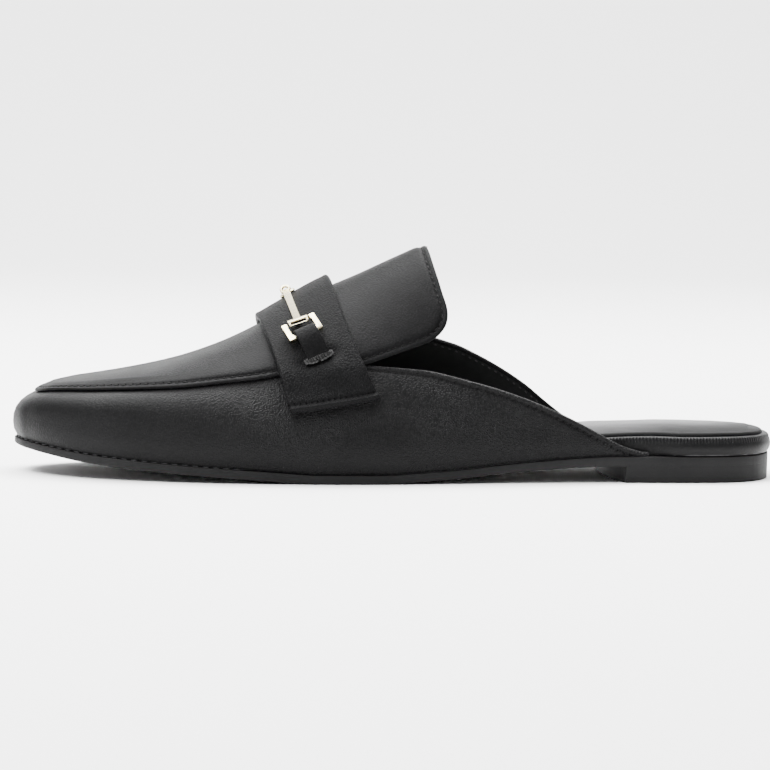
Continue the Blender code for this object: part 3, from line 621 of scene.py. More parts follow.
def section_height(s, share):
    power = squareness_curve(s / LENGTH)
    side_share = soften(np.minimum(share, 1.0)) ** power
    return belly(s) + roof_rise(s) * np.maximum(1 - side_share, 0.0) ** (1 / power)


def share_at_height(s, z):
    """Inverse of section_height, for the wall above the belly."""
    power = squareness_curve(s / LENGTH)
    rise = np.clip((z - belly(s)) / np.maximum(roof_rise(s), WELD), 0.0, 1.0)
    soft = np.maximum(1 - rise**power, 0.0) ** (1 / power)
    return np.sqrt(np.maximum((soft * SOFT_SPAN + RIDGE_SOFTNESS) ** 2 - RIDGE_SOFTNESS**2, 0.0))


def height(s, y):
    side = np.where(y < RIDGE_SHIFT, -1, 1)
    return section_height(s, np.abs(y - RIDGE_SHIFT) / reach(s, side))


def plan_y(s, side, share):
    return RIDGE_SHIFT + side * share * reach(s, side)


def skin_normal(s, y):
    step = 0.0004
    slope_s = (height(s + step, y) - height(s - step, y)) / (2 * step)
    slope_y = (height(s, y + step) - height(s, y - step)) / (2 * step)
    return unit(np.stack((-slope_s, -slope_y, np.ones_like(slope_s)), -1))


def skin(s, y, lift=0.0):
    """Points on the upper's outer surface above the belly, raised along its normal."""
    s, y = np.broadcast_arrays(np.asarray(s, float), np.asarray(y, float))
    points = np.stack((s, y, height(s, y)), -1)
    return points + skin_normal(s, y) * np.asarray(lift, float)[..., None]


def frame_shift():
    """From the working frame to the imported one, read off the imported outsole."""
    turns = np.arange(2 * len(PLAN) - 1) / 2
    s = outline(turns, -1)[:, 0]
    edge = np.concatenate([outline(turns, side, sole_inset(s)) for side in (-1, 1)])
    low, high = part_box("outsole")
    middle = (edge.min(0) + edge.max(0)) / 2
    return Vector(((low.x + high.x) / 2 - middle[0], (low.y + high.y) / 2 - middle[1], 0.0))


def sole_inset(s):
    return tuck(s) - SOLE_LIP


def bed_inset(s):
    """Inside the upper's wall up to the wings' ends, then out to the full outline."""
    flare = smoothstep((s - FLARE_START * LENGTH) / FLARE_LENGTH)
    return mix(tuck(s) + WALL + FOOTBED_CLEARANCE, 0.0, flare)


SHIFT = frame_shift()


def tucked(turn, side, drop):
    """Points of the wall under the belly; drop runs from 0 at the belly to 1 at the sole."""
    edge = outline(turn, side)
    s = edge[..., 0]
    point = outline(turn, side, tuck(s) * drop**2)
    z = mix(belly(s), sole_top(s) + GAP, drop)
    return np.concatenate((point, z[..., None]), -1)


def wall_path(turn, side, drop_end):
    drop = np.linspace(1.0, drop_end, PATH_SAMPLES // 3)
    return tucked(np.full(len(drop), float(turn)), side, drop)


def fan_path(turn, side):
    """From the widest line straight towards the fan's centre on the ridge."""
    foot = outline(turn, side)
    centre = np.array((NOSE_REACH, RIDGE_SHIFT))
    share = np.cos(np.linspace(0.0, math.pi / 2, PATH_SAMPLES))[1:]
    points = centre + (foot - centre) * share[:, None]
    return np.column_stack((points, height(points[:, 0], points[:, 1])))


def side_path(foot_s, side, end_s, end_share):
    """From the widest line up the wall to a place given by its station and share."""
    turn = np.linspace(0.0, math.pi / 2, PATH_SAMPLES)[1:]
    share = mix(1.0, end_share, 1 - np.cos(turn))
    s = mix(foot_s, end_s, np.sin(turn))
    return np.column_stack((s, plan_y(s, side, share), section_height(s, share)))


def topline_height(s, side):
    return INSTEP_HEIGHT * topline_curves[side](s / LENGTH)


def wing_column(end_s, side):
    """Column of a wing, from the sole up to the top edge."""
    top = topline_height(end_s, side)
    if end_s > WING_END * LENGTH - WING_TIP_LENGTH:
        top = sole_top(end_s) + GAP + WING_TIP_HEIGHT
    if top <= belly(end_s) + GAP:
        lowest = sole_top(end_s) + GAP
        drop = (belly(end_s) - top) / (belly(end_s) - lowest)
        return wall_path(turn_at(end_s), side, min(drop, WING_TUCK))
    share = share_at_height(end_s, top)
    return np.concatenate((wall_path(turn_at(end_s), side, 0.0), side_path(end_s, side, end_s, share)))


def upper_columns():
    """Columns of the upper from the outer wing round the toe, and which end in a free edge."""
    throat = THROAT_SHARE * LENGTH
    corner_front = throat - THROAT_CORNER_FRONT
    sides = {}
    for side in (-1, 1):
        columns = []
        ends = np.linspace(WING_END * LENGTH, throat, WING_COLUMNS + 1)
        for end_s in ends:
            columns.append((wing_column(end_s, side), True))
        corner_share = share_at_height(throat, topline_height(throat, side))
        feet = np.linspace(throat, corner_front, THROAT_COLUMNS + 1)[1:]
        shares = np.linspace(corner_share, 0.0, THROAT_COLUMNS + 1)[1:]
        for foot_s, share in zip(feet, shares):
            path = np.concatenate((wall_path(turn_at(foot_s), side, 0.0),
                                   side_path(foot_s, side, throat, share)))
            columns.append((path, True))
        feet = np.linspace(corner_front, NOSE_REACH, RIDGE_COLUMNS + 1)[1:-1]
        ends = np.linspace(throat, NOSE_REACH, RIDGE_COLUMNS + 1)[1:-1]
        for foot_s, end_s in zip(feet, ends):
            path = np.concatenate((wall_path(turn_at(foot_s), side, 0.0),
                                   side_path(foot_s, side, end_s, 0.0)))
            columns.append((path, False))
        sides[side] = columns
    fan_turn = float(turn_at(NOSE_REACH))
    fan = []
    for turn in np.linspace(-fan_turn, fan_turn, FAN_COLUMNS + 1):
        side = -1 if turn <= 0 else 1
        path = np.concatenate((wall_path(abs(turn), side, 0.0), fan_path(abs(turn), side)))
        fan.append((path, False))
    return sides[-1] + fan + sides[1][::-1]


def resampled(path, rows, is_free=True):
    """Points of a path at evenly spread rows, with extra rows close to its far end if that is free."""
    steps = np.linalg.norm(np.diff(path, axis=0), axis=1)
    run = np.concatenate(([0.0], np.cumsum(steps)))
    total = run[-1]
    near = np.array(EDGE_ROWS) * MM
    if not is_free:
        near = np.linspace(0.0, near[-1], len(near))
    near = near * min(1.0, total / (2 * near[-1]))
    wanted = np.concatenate((np.linspace(0.0, total - near[-1], rows + 1)[:-1], (total - near)[::-1]))
    return np.column_stack([np.interp(wanted, run, path[:, k]) for k in range(3)])


def apron_pairs():
    """Start on the apron's edge and end on the ridge of each of its columns, seen from above."""
    throat = THROAT_SHARE * LENGTH
    fan_turn = float(turn_at(NOSE_REACH))
    centre = np.array((NOSE_REACH, RIDGE_SHIFT))
    fan = []
    for turn in np.linspace(-fan_turn, fan_turn, FAN_COLUMNS + 1):
        foot = outline(abs(turn), -1 if turn <= 0 else 1)
        fan.append((centre + (foot - centre) * seam_curve(foot[0] / LENGTH), centre))
    rows = np.arange(len(TONGUE), dtype=float)
    edge_along = smooth_through(rows, [row.along for row in TONGUE])
    edge_share = smooth_through(rows, [row.share for row in TONGUE])
    sides = {}
    for side in (-1, 1):
        pairs = []
        for step in np.linspace(len(TONGUE) - 1.0, 0.0, TONGUE_COLUMNS + 1):
            s = edge_along(step) * LENGTH
            end_s = mix(throat, TONGUE[-1].along * LENGTH, min(step / (len(TONGUE) - 1.5), 1.0))
            start = np.array((s, plan_y(s, side, edge_share(step))))
            pairs.append((start, np.array((end_s, RIDGE_SHIFT))))
        for s in np.linspace(throat, NOSE_REACH, RIDGE_COLUMNS + 1)[1:-1]:
            start = np.array((s, plan_y(s, side, seam_curve(s / LENGTH))))
            pairs.append((start, np.array((s, RIDGE_SHIFT))))
        sides[side] = pairs
    return sides[-1] + fan + sides[1][::-1]


def smooth_through(at, values):
    """A curve with rounded turns through values, for an edge that doubles back."""
    at = np.asarray(at, float)
    values = np.asarray(values, float)
    slopes = np.gradient(values, at)

    def curve(x):
        i = int(np.clip(np.searchsorted(at, x, side="right") - 1, 0, len(at) - 2))
        t = (x - at[i]) / (at[i + 1] - at[i])
        width = at[i + 1] - at[i]
        start = values[i] * (2 * t**3 - 3 * t**2 + 1) + slopes[i] * width * (t**3 - 2 * t**2 + t)
        return start + values[i + 1] * (3 * t**2 - 2 * t**3) + slopes[i + 1] * width * (t**3 - t**2)

    return curve


def strap_skin(v, u):
    """Points under the strap; v runs from its front edge to its rear, u from end to end."""
    v, u = np.broadcast_arrays(np.asarray(v, float), np.asarray(u, float))
    side = np.where(u < 0, -1, 1)
    way = np.abs(u)
    middle = mix(STRAP_FRONT.middle, STRAP_REAR.middle, v)
    end_along = mix(STRAP_FRONT.end_along, STRAP_REAR.end_along, v)
    end_share = mix(STRAP_FRONT.end_share, STRAP_REAR.end_share, v)
    s = mix(middle, end_along, way**STRAP_SWEEP) * LENGTH
    share = end_share * way * mix(STRAP_SPREAD, 1.0, way)
    seam = seam_curve(s / LENGTH)
    over_apron = 1 - smoothstep((share - seam - STRAP_STEP_START) / STRAP_STEP)
    crown = mix(STRAP_LIFT_FRONT, STRAP_LIFT_REAR, v) * np.maximum(1 - way / STRAP_LIFT_REACH, 0.0)
    lift = STRAP_CLEARANCE + (APRON_THICKNESS + GAP) * over_apron + crown
    return skin(s, plan_y(s, side, share), lift)


def strap_frame(v, u, lift):
    """Axes on top of the strap: X along the shoe, Y towards the ridge, Z off the leather."""
    step = 0.01
    along = Vector(strap_skin(v + step, u) - strap_skin(v - step, u)).normalized()
    across = Vector(strap_skin(v, u + step) - strap_skin(v, u - step)).normalized()
    off = along.cross(across).normalized()
    axes = Matrix((along, off.cross(along).normalized(), off)).transposed().to_4x4()
    axes.translation = Vector(strap_skin(v, u)) + off * (STRAP_THICKNESS + lift)
    return axes


def bit_frame(side):
    """Axes of one bar of the bit, X running down to its crossbar, and the bar's length."""
    middle = strap_frame(BIT_PLACE, 0.0, LINK_LIFT)
    end = strap_frame(BIT_END_PLACE, side * BIT_END, TAB_BEND + GAP - BIT_SINK)
    above = Vector((0, 0, EYE_LIFT)) if side < 0 else Vector((0, LINK_RADIUS - LINK_WIRE / 2, 0))
    start = middle @ above
    run = (end.translation - start).normalized()
    off = (end.col[2] if side < 0 else middle.col[2] + end.col[2]).to_3d()
    off = (off - run * off.dot(run)).normalized()
    axes = Matrix((run, off.cross(run), off)).transposed().to_4x4()
    axes.translation = start
    return axes, (end.translation - start).length


def ring_frame_at(side):
    """Axes of a ring: X hanging down over the strap from the crossbar's legs, Z off the leather."""
    bar, length = bit_frame(side)
    low = strap_frame(RING_PLACE, side * RING_END, 0.0)
    off = low.col[2].to_3d()
    run = low.col[1].to_3d() * -side
    run = run if run.z < 0 else -run
    hang = Matrix((run, off.cross(run).normalized(), off)).transposed().to_4x4()
    hang.translation = bar @ Vector((length + PIVOT_DROP, side * RING_SLIP, 0))
    return hang @ Matrix.Rotation(RING_TURN * -side, 4, "Z")


def rim_field(points, rim):
    """Distance from each point to a polyline, and how far along it the nearest place lies."""
    steps = np.diff(rim, axis=0)
    lengths = np.linalg.norm(steps, axis=1)
    runs = np.concatenate(([0.0], np.cumsum(lengths)))
    distance = np.full(len(points), np.inf)
    along = np.zeros(len(points))
    for start, step, length, run in zip(rim, steps, lengths, runs):
        if length < WELD:
            continue
        t = np.clip((points - start) @ step / length**2, 0.0, 1.0)
        gap = np.linalg.norm(points - start - t[:, None] * step, axis=1)
        nearer = gap < distance
        distance[nearer] = gap[nearer]
        along[nearer] = run + t[nearer] * length
    return distance, along


def grid_sheet(points):
    """An open sheet through a table of points, welded where they meet, with outward normals."""
    count, rows = points.shape[0] - 1, points.shape[1] - 1
    bm = bmesh.new()
    bmesh.ops.create_grid(bm, x_segments=count, y_segments=rows, size=0.5)
    bm.verts.index_update()
    for vert in bm.verts:
        vert.co = points[vert.index % (count + 1), vert.index // (count + 1)]
    bmesh.ops.remove_doubles(bm, verts=bm.verts, dist=WELD)
    bmesh.ops.recalc_face_normals(bm, faces=bm.faces)
    if sum(face.normal.z * face.calc_area() for face in bm.faces) < 0:
        bmesh.ops.reverse_faces(bm, faces=bm.faces)
    bm.normal_update()
    bm.verts.index_update()
    return bm


def vert_table(bm):
    points = np.array([vert.co for vert in bm.verts])
    normals = np.array([vert.normal for vert in bm.verts])
    return points, normals


def round_rim(distance, half, fullness=2.0):
    """Share of the half thickness left at a distance from a rounded rim."""
    return (1 - np.clip(1 - distance / half, 0.0, 1.0) ** fullness) ** (1 / fullness)


def store(bm, name, values):
    layer = bm.verts.layers.float.new(name)
    for vert, value in zip(bm.verts, values):
        vert[layer] = float(value)


def two_sided(bm, outer, inner):
    """Closes an open sheet into a wall; outer and inner are each vertex's moved places."""
    inner_side = bm.verts.layers.int.new("inner_side")
    mate = bm.verts.layers.int.new("mate")
    for vert in bm.verts:
        vert[mate] = vert.index
    made = bmesh.ops.extrude_face_region(bm, geom=list(bm.faces))["geom"]
    copies = {item for item in made if isinstance(item, bmesh.types.BMVert)}
    for vert in bm.verts:
        vert[inner_side] = int(vert in copies)
        vert.co = (inner if vert in copies else outer)[vert[mate]]
    return inner_side


def finish(name, bm, materials, replaced=(), sharp=SOFT_ANGLE):
    """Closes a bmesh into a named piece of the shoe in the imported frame."""
    bmesh.ops.remove_doubles(bm, verts=bm.verts, dist=WELD)
    loose = [edge for edge in bm.edges if not edge.link_faces]
    bmesh.ops.delete(bm, geom=loose, context="EDGES")
    bmesh.ops.recalc_face_normals(bm, faces=bm.faces)
    if bm.calc_volume(signed=True) < 0:
        bmesh.ops.reverse_faces(bm, faces=bm.faces)
    bmesh.ops.translate(bm, vec=SHIFT, verts=bm.verts)
    mesh = bpy.data.meshes.new(name)
    bm.to_mesh(mesh)
    bm.free()
    for material in materials:
        mesh.materials.append(material)
    mesh.shade_smooth()
    mesh.set_sharp_from_angle(angle=sharp)
    piece = bpy.data.objects.new(name, mesh)
    bpy.context.scene.collection.objects.link(piece)
    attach(piece, BODY)
    if replaced:
        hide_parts(*replaced)
    return piece


class Value:
    """A number in a shader; arithmetic on it adds Math nodes."""

    def __init__(self, made, socket):
        self.made = made
        self.socket = socket

    def math(self, operation, *values):
        sockets = dict(enumerate(values))
        return self.made.add("ShaderNodeMath", {"operation": operation}, sockets)

    def __add__(self, other):
        return self.math("ADD", self, other)

    def __radd__(self, other):
        return self.math("ADD", other, self)

    def __sub__(self, other):
        return self.math("SUBTRACT", self, other)

    def __rsub__(self, other):
        return self.math("SUBTRACT", other, self)

    def __mul__(self, other):
        return self.math("MULTIPLY", self, other)

    def __rmul__(self, other):
        return self.math("MULTIPLY", other, self)

    def __truediv__(self, other):
        return self.math("DIVIDE", self, other)

    def absolute(self):
        return self.math("ABSOLUTE", self)

    def sine(self):
        return self.math("SINE", self)

    def between(self, low, high):
        """0 at low and 1 at high, eased."""
        sockets = {"Value": self, "From Min": low, "From Max": high}
        return self.made.add("ShaderNodeMapRange", {"interpolation_type": "SMOOTHSTEP"}, sockets)

    def near(self, centre, width):
        """1 at centre, eased to 0 at width from it."""
        return 1 - (self - centre).absolute().between(0.0, width)


class Finish:
    """A material on one Principled shader, with its nodes added by name."""

    def __init__(self, name, roughness, metallic=0.0, specular=0.5):
        self.material = bpy.data.materials.new(name)
        self.material.use_nodes = True
        self.tree = self.material.node_tree
        self.shader = self.tree.nodes["Principled BSDF"]
        self.shader.inputs["Roughness"].default_value = roughness
        self.shader.inputs["Metallic"].default_value = metallic
        self.shader.inputs["Specular IOR Level"].default_value = specular
        self.place = self.add("ShaderNodeTexCoord", {}, {}, "Object")

    def add(self, kind, settings, sockets, output=0):
        """Adds a node; settings come first, then each socket takes a value or a link."""
        node = self.tree.nodes.new(kind)
        for key, value in settings.items():
            setattr(node, key, value)
        for key, value in sockets.items():
            if isinstance(value, Value):
                self.tree.links.new(value.socket, node.inputs[key])
            else:
                node.inputs[key].default_value = value
        return Value(self, node.outputs[output])

    def attribute(self, name):
        return self.add("ShaderNodeAttribute", {"attribute_name": name}, {}, "Fac")

    def part(self, axis):
        """One of the three Object coordinates."""
        return self.add("ShaderNodeSeparateXYZ", {}, {"Vector": self.place}, axis)

    def noise(self, scale, detail=2.0, roughness=0.5, place=None):
        sockets = {"Vector": place or self.place, "Scale": scale, "Detail": detail, "Roughness": roughness}
        return self.add("ShaderNodeTexNoise", {}, sockets, 0)

    def stretched(self, scale):
        """Object coordinates, scaled along each axis."""
        return self.add("ShaderNodeMapping", {}, {"Vector": self.place, "Scale": scale})

    def pebbles(self, scale, place, smooth):
        sockets = {"Vector": place, "Scale": scale, "Smoothness": smooth, "Randomness": 1.0}
        return self.add("ShaderNodeTexVoronoi", {"feature": "SMOOTH_F1"}, sockets, "Distance")

    def blend(self, factor, first, second):
        """A colour between two, by a factor."""
        node = self.tree.nodes.new("ShaderNodeMix")
        node.data_type = "RGBA"
        self.tree.links.new(factor.socket, node.inputs["Factor"])
        for key, colour in (("A", first), ("B", second)):
            socket = [item for item in node.inputs if item.name == key and item.type == "RGBA"][0]
            if isinstance(colour, Value):
                self.tree.links.new(colour.socket, socket)
            else:
                socket.default_value = colour
        return Value(self, [item for item in node.outputs if item.type == "RGBA"][0])

    def feed(self, socket, value):
        self.tree.links.new(value.socket, self.shader.inputs[socket])

    def bump(self, height_value, distance):
        sockets = {"Height": height_value, "Distance": distance}
        self.feed("Normal", self.add("ShaderNodeBump", {}, sockets, "Normal"))


def tone(colour, share):
    """A colour made lighter or darker."""
    return [channel * share for channel in colour[:3]] + [1.0]


def leather(name, looks, colour, grain, smoothness, sewn_rows=(), roughness=0.46, shine=1.0):
    """Milled leather: pebbled grain whose tops are painted lighter and hollows darker as painted highlight
    and shade, soft tone patches, and a dent where a stitch row pulls it in, painted dark as shade.
    """
    made = Finish(name, roughness, specular=looks.leather_gloss * shine)
    bend = made.add("ShaderNodeTexNoise", {}, {"Vector": made.place, "Scale": PEBBLE_BEND_SCALE}, 1)
    place = made.add("ShaderNodeVectorMath", {"operation": "MULTIPLY_ADD"},
                     {0: bend, 1: [looks.grain_size * PEBBLE_BEND] * 3, 2: made.place})
    cells = made.pebbles(1.0 / looks.grain_size, place, PEBBLE_SMOOTHNESS).between(*PEBBLE_RANGE)
    fine = made.noise(PORES_PER_PEBBLE / looks.grain_size, detail=3.0, roughness=0.6)
    patch = made.noise(PATCH_SCALE, detail=3.0, roughness=0.55).between(*PATCH_RANGE)
    behind_toe = made.part("X").between(*GRAIN_FADE)
    strength = (0.5 + 0.5 * patch) * (TOE_GRAIN + (1 - TOE_GRAIN) * behind_toe)
    relief = (1 - cells) * strength * grain + fine * PORE_DEPTH * grain
    painted_dent_shade = patch * 0
    for row, pitch in sewn_rows:
        distance = made.attribute("row")
        holes = (made.attribute("along") * (math.pi / pitch)).sine().absolute().between(0.0, HOLE_SHARE)
        dent = distance.near(row, DENT_REACH) * (1 - holes)
        relief = relief - dent * DENT_DEPTH
        painted_dent_shade = painted_dent_shade + dent
    made.bump(relief, looks.grain_depth)
    # Painted highlight and shade of the grain: pebble tops lighter and hollows darker, mixed with random
    # tone patches.
    shade = made.blend((1 - cells) * 0.55 + patch * 0.45, tone(colour, 0.62), tone(colour, 1.25))
    # Painted shade: each dent along a stitch row is darkened in colour.
    made.feed("Base Color", made.blend(painted_dent_shade, shade, tone(colour, 0.1)))
    made.feed("Roughness", roughness + 0.10 * fine - 0.06 * patch + smoothness * (cells - 0.5))
    return made.material


def inside_lining(looks):
    """Smooth lining inside the upper, with a fine close grain."""
    made = Finish("inside_lining", 0.5, specular=0.2)
    fine = made.noise(1800.0, detail=4.0, roughness=0.6)
    patch = made.noise(55.0, detail=3.0).between(*PATCH_RANGE)
    made.bump(fine, 0.00003)
    colour = looks.inside_colour
    made.feed("Base Color", made.blend(patch, tone(colour, 0.8), tone(colour, 1.2)))
    made.feed("Roughness", 0.5 + 0.08 * fine - 0.06 * patch)
    return made.material


def footbed_leather(looks):
    """Edge leather of the footbed, drawn into fine pleats under the sock lining, with painted highlight and
    shade on the pleats and a painted glint at its foot.
    """
    made = Finish("footbed_leather", 0.42, specular=looks.leather_gloss * 3)
    fine = made.noise(1800.0, detail=3.0)
    pleats = (made.attribute("along") * (math.tau / PLEAT_PITCH) + fine * 2.0).sine()
    band = made.attribute("row").near(PLEAT_ROW, PLEAT_REACH)
    made.bump(pleats * band * 0.8 + fine * 0.5, looks.grain_depth)
    colour = looks.leather_colour
    # Painted highlight and shade: the pleat crests are lighter and their valleys darker in colour.
    painted_pleat_shade = made.blend(band * (pleats * 0.5 + 0.5), tone(colour, 0.8), tone(colour, 1.5))
    # Painted glint: light specks in colour along the foot of the footbed, where it meets the sole.
    painted_glints = made.noise(260.0, detail=1.0).between(0.5, 0.6)
    foot = made.attribute("row").near(FOOTBED_THICKNESS, PAINTED_GLINT_REACH) * painted_glints
    made.feed("Base Color", made.blend(foot, painted_pleat_shade, tone(colour, 7.0)))
    made.feed("Roughness", 0.40 + 0.12 * fine)
    return made.material


def sock_leather(looks):
    """Grey glossy sock lining, duller towards its outer front and painted darker there as painted shade and
    reflection.
    """
    made = Finish("sock_leather", 0.34, specular=0.10)
    fine = made.noise(2400.0, detail=4.0, roughness=0.6)
    waves = made.noise(60.0, detail=2.0)
    made.bump(fine * 0.25 + waves * 2.4, looks.grain_depth)
    # Painted shade and reflection: the colour darkens across the lining towards its outer front; the same
    # gradient raises the roughness there.
    across = made.part("Y") + waves * PAINTED_SHADE_AND_GLOSS_WAVER - made.part("X") * PAINTED_SHADE_AND_GLOSS_SLANT
    patch = across.between(*PAINTED_SHADE_AND_GLOSS_RANGE)
    colour = looks.lining_colour
    made.feed("Base Color", made.blend(patch, tone(colour, 0.22), tone(colour, 1.3)))
    made.feed("Roughness", 0.78 - 0.46 * patch + 0.1 * fine)
    return made.material


def sole_rubber(looks):
    """Moulded rubber, matt, with the faint vertical drag of a trimmed edge."""
    made = Finish("sole_rubber", 0.62, specular=0.14)
    fine = made.noise(2600.0, detail=4.0, roughness=0.6)
    trim = made.noise(900.0, place=made.stretched((1.0, 1.0, 0.12)))
    made.bump(fine * 0.5 + trim * 0.5, looks.grain_depth * 0.6)
    patch = made.noise(40.0, detail=3.0).between(*PATCH_RANGE)
    colour = looks.rubber_colour
    made.feed("Base Color", made.blend(patch, tone(colour, 0.8), tone(colour, 1.2)))
    made.feed("Roughness", 0.56 + 0.14 * fine)
    return made.material


def bit_metal(looks):
    """Polished pale gold plate with the faintest brushing."""
    made = Finish("bit_metal", 0.16, metallic=1.0)
    fine = made.noise(1500.0, place=made.stretched((1.0, 1.0, 5.0)))
    patch = made.noise(400.0).between(*PATCH_RANGE)
    made.bump(fine, 0.000003)
    colour = looks.metal_colour
    made.feed("Base Color", made.blend(patch, tone(colour, 0.92), tone(colour, 1.04)))
    made.feed("Roughness", 0.13 + 0.10 * fine)
    return made.material


def thread(looks):
    """Twisted black thread."""
    made = Finish("thread", 0.5, specular=0.08)
    twist = made.noise(4200.0, detail=1.0, place=made.stretched((1.0, 1.0, 0.4)))
    made.bump(twist, 0.00006)
    colour = looks.thread_colour
    made.feed("Base Color", made.blend(twist.between(0.35, 0.65), tone(colour, 0.6), tone(colour, 1.5)))
    made.feed("Roughness", 0.42 + 0.2 * twist)
    return made.material


def plain_thread(name, colour, roughness, specular):
    """Thread of one even tone."""
    made = Finish(name, roughness, specular=specular)
    made.shader.inputs["Base Color"].default_value = colour
    return made.material


def sew(bm, line, normals, first, last, pitch, length, width, sink=STITCH_SINK):
    """Threads along a line: a soft bead for each stitch, its ends dipping into the leather."""
    steps = np.linalg.norm(np.diff(line, axis=0), axis=1)
    run = np.concatenate(([0.0], np.cumsum(steps)))

    def place_at(at, table):
        return Vector([float(np.interp(at, run, table[:, i])) for i in range(3)])

    for k in range(int((last - first) / pitch)):
        at = first + (k + 0.5) * pitch
        point = place_at(at, line)
        off = place_at(at, normals).normalized()
        along = (place_at(at + length / 2, line) - point).normalized()
        across = off.cross(along).normalized()
        off = along.cross(across).normalized()
        axes = Matrix((along, across, off)).transposed().to_4x4()
        axes.translation = point + off * width * (0.5 - sink)
        size = Matrix.Diagonal((length, width, width * STITCH_FLATNESS, 1.0))
        bmesh.ops.create_uvsphere(bm, u_segments=8, v_segments=6, radius=0.5, matrix=axes @ size)


def crease_relief(points):
    """Soft troughs and ridges on the upper's sides."""
    total = np.zeros(len(points))
    s, z = points[:, 0] / MM, points[:, 2] / MM
    for crease in CREASES:
        start = np.array((crease.from_s, crease.from_z), float)
        run = np.array((crease.to_s, crease.to_z), float) - start
        place = np.column_stack((s, z)) - start
        t = np.clip(place @ run / (run @ run), 0.0, 1.0)
        gap = np.linalg.norm(place - t[:, None] * run, axis=1)
        same_side = (points[:, 1] - RIDGE_SHIFT) * crease.side > 0
        total -= crease.depth * bell(gap, crease.width) * np.sin(t * math.pi) ** 1.6 * same_side
    return total


def looks_of(context):
    return context.scene.mule_looks


def make_upper(looks, materials):
    """The vamp with both wings, open at the throat, at the heel and underneath."""
    columns = upper_columns()
    points = np.array([resampled(path, UPPER_ROWS, is_free) for path, is_free in columns])
    free = [index for index, (_, is_free) in enumerate(columns) if is_free]
    rim = points[free, -1]
    bm = grid_sheet(points)
    base, normals = vert_table(bm)
    rim_distance, along = rim_field(base, rim)
    throat = THROAT_SHARE * LENGTH
    shown = smoothstep((base[:, 0] - throat + HEM_START) / HEM_RUN)
    edge = looks.edge_bead * bell(rim_distance - BEAD_PLACE, BEAD_WIDTH)
    edge -= looks.stitch_trough * bell(rim_distance - looks.edge_row, TROUGH_WIDTH)
    half = WALL / 2
    left = round_rim(rim_distance, half, RIM_FULLNESS)
    creases = looks.crease_depth * crease_relief(base)
    creases *= smoothstep((rim_distance - CREASE_CLEAR) / CREASE_FADE)
    outward = -half + half * left + (edge * shown + creases) * left
    store(bm, "row", rim_distance)
    store(bm, "along", along)
    bottom = base[:, 2] < sole_top(base[:, 0]) + GAP + WELD
    inward = normals.copy()
    inward[bottom, 2] = 0.0
    inward = unit(inward)
    outer = base + normals * outward[:, None]
    outer[bottom, 2] = base[bottom, 2]
    inner = base - inward * (half + half * left)[:, None]
    inner_side = two_sided(bm, outer, inner)
    fill_holes(bm)
    line_inside(bm, inner_side, TURNED_IN)
    finish("vamp_and_quarters", bm, (materials["upper"], materials["inside"]), ("upper",))
    return base, normals, rim


def fill_holes(bm):
    """Closes any hole that is left in a shell."""
    bmesh.ops.remove_doubles(bm, verts=bm.verts, dist=WELD)
    open_edges = [edge for edge in bm.edges if len(edge.link_faces) == 1]
    if open_edges:
        bmesh.ops.holes_fill(bm, edges=open_edges, sides=0)


def line_inside(bm, inner_side, turned_in):
    """Gives the inner faces the second material, past the strip that is turned in at the rim."""
    row_layer = bm.verts.layers.float["row"]
    for face in bm.faces:
        is_inner = all(vert[inner_side] for vert in face.verts)
        if is_inner and min(vert[row_layer] for vert in face.verts) > turned_in:
            face.material_index = 1


def offset_line(base, normals, rim, distance):
    """The line on a sheet at a distance in from its rim, with the sheet's normals there."""
    points = []
    offs = []
    gap, along = rim_field(base, rim)
    total = row_length(rim)
    in_band = np.abs(gap - distance) < ROW_BAND
    for at in np.linspace(0.0, total, max(int(total / ROW_STEP), 4)):
        close = in_band & (np.abs(along - at) < ROW_REACH)
        if close.sum() < 3:
            continue
        weight = bell(gap[close] - distance, ROW_BLUR_ACROSS) * bell(along[close] - at, ROW_BLUR_ALONG)
        weight /= weight.sum()
        points.append(weight @ base[close])
        offs.append(weight @ normals[close])
    return np.array(points), unit(np.array(offs))


def make_apron(looks, materials):
    """The raised apron, which runs on behind the throat as the free tongue."""
    share = np.linspace(0.0, 1.0, PATH_SAMPLES)[:, None]
    columns = []
    for start, end in apron_pairs():
        plan = start + (end - start) * share
        columns.append(skin(plan[:, 0], plan[:, 1], GAP)[::-1])
    points = np.array([apron_rows(path) for path in columns])
    rim = points[:, -1]
    bm = grid_sheet(points[1:-1])
    base, normals = vert_table(bm)
    rim_distance, along = rim_field(base, rim)
    half = mix(APRON_EDGE, APRON_THICKNESS, smoothstep(rim_distance / APRON_SKIVE)) / 2
    left = round_rim(rim_distance, half, RIM_FULLNESS)
    edge = looks.edge_bead * APRON_BEAD_SHARE * bell(rim_distance - APRON_BEAD_PLACE, TROUGH_WIDTH)
    edge -= looks.stitch_trough * bell(rim_distance - looks.apron_row, TROUGH_WIDTH)
    toe = 1 - smoothstep((base[:, 0] - TOE_RELIEF_END) / TOE_RELIEF_FADE)
    for relief in TOE_RELIEF:
        edge += relief.height * bell(rim_distance - relief.place, relief.width) * toe
    store(bm, "row", rim_distance)
    store(bm, "along", along)
    outer = base + normals * (half + half * left + edge * left)[:, None]
    inner = base + normals * (half - half * left)[:, None]
    inner_side = two_sided(bm, outer, inner)
    line_inside(bm, inner_side, APRON_TURNED_IN)
    finish("apron_and_tongue", bm, (materials["apron"], materials["inside"]), ("apron",))
    return base, normals, rim


def apron_rows(path):
    """Rows of an apron column, which may be very short at the tongue's end."""
    if np.linalg.norm(np.diff(path, axis=0), axis=1).sum() < WELD:
        return np.repeat(path[:1], APRON_ROWS + len(EDGE_ROWS), axis=0)
    return resampled(path, APRON_ROWS)


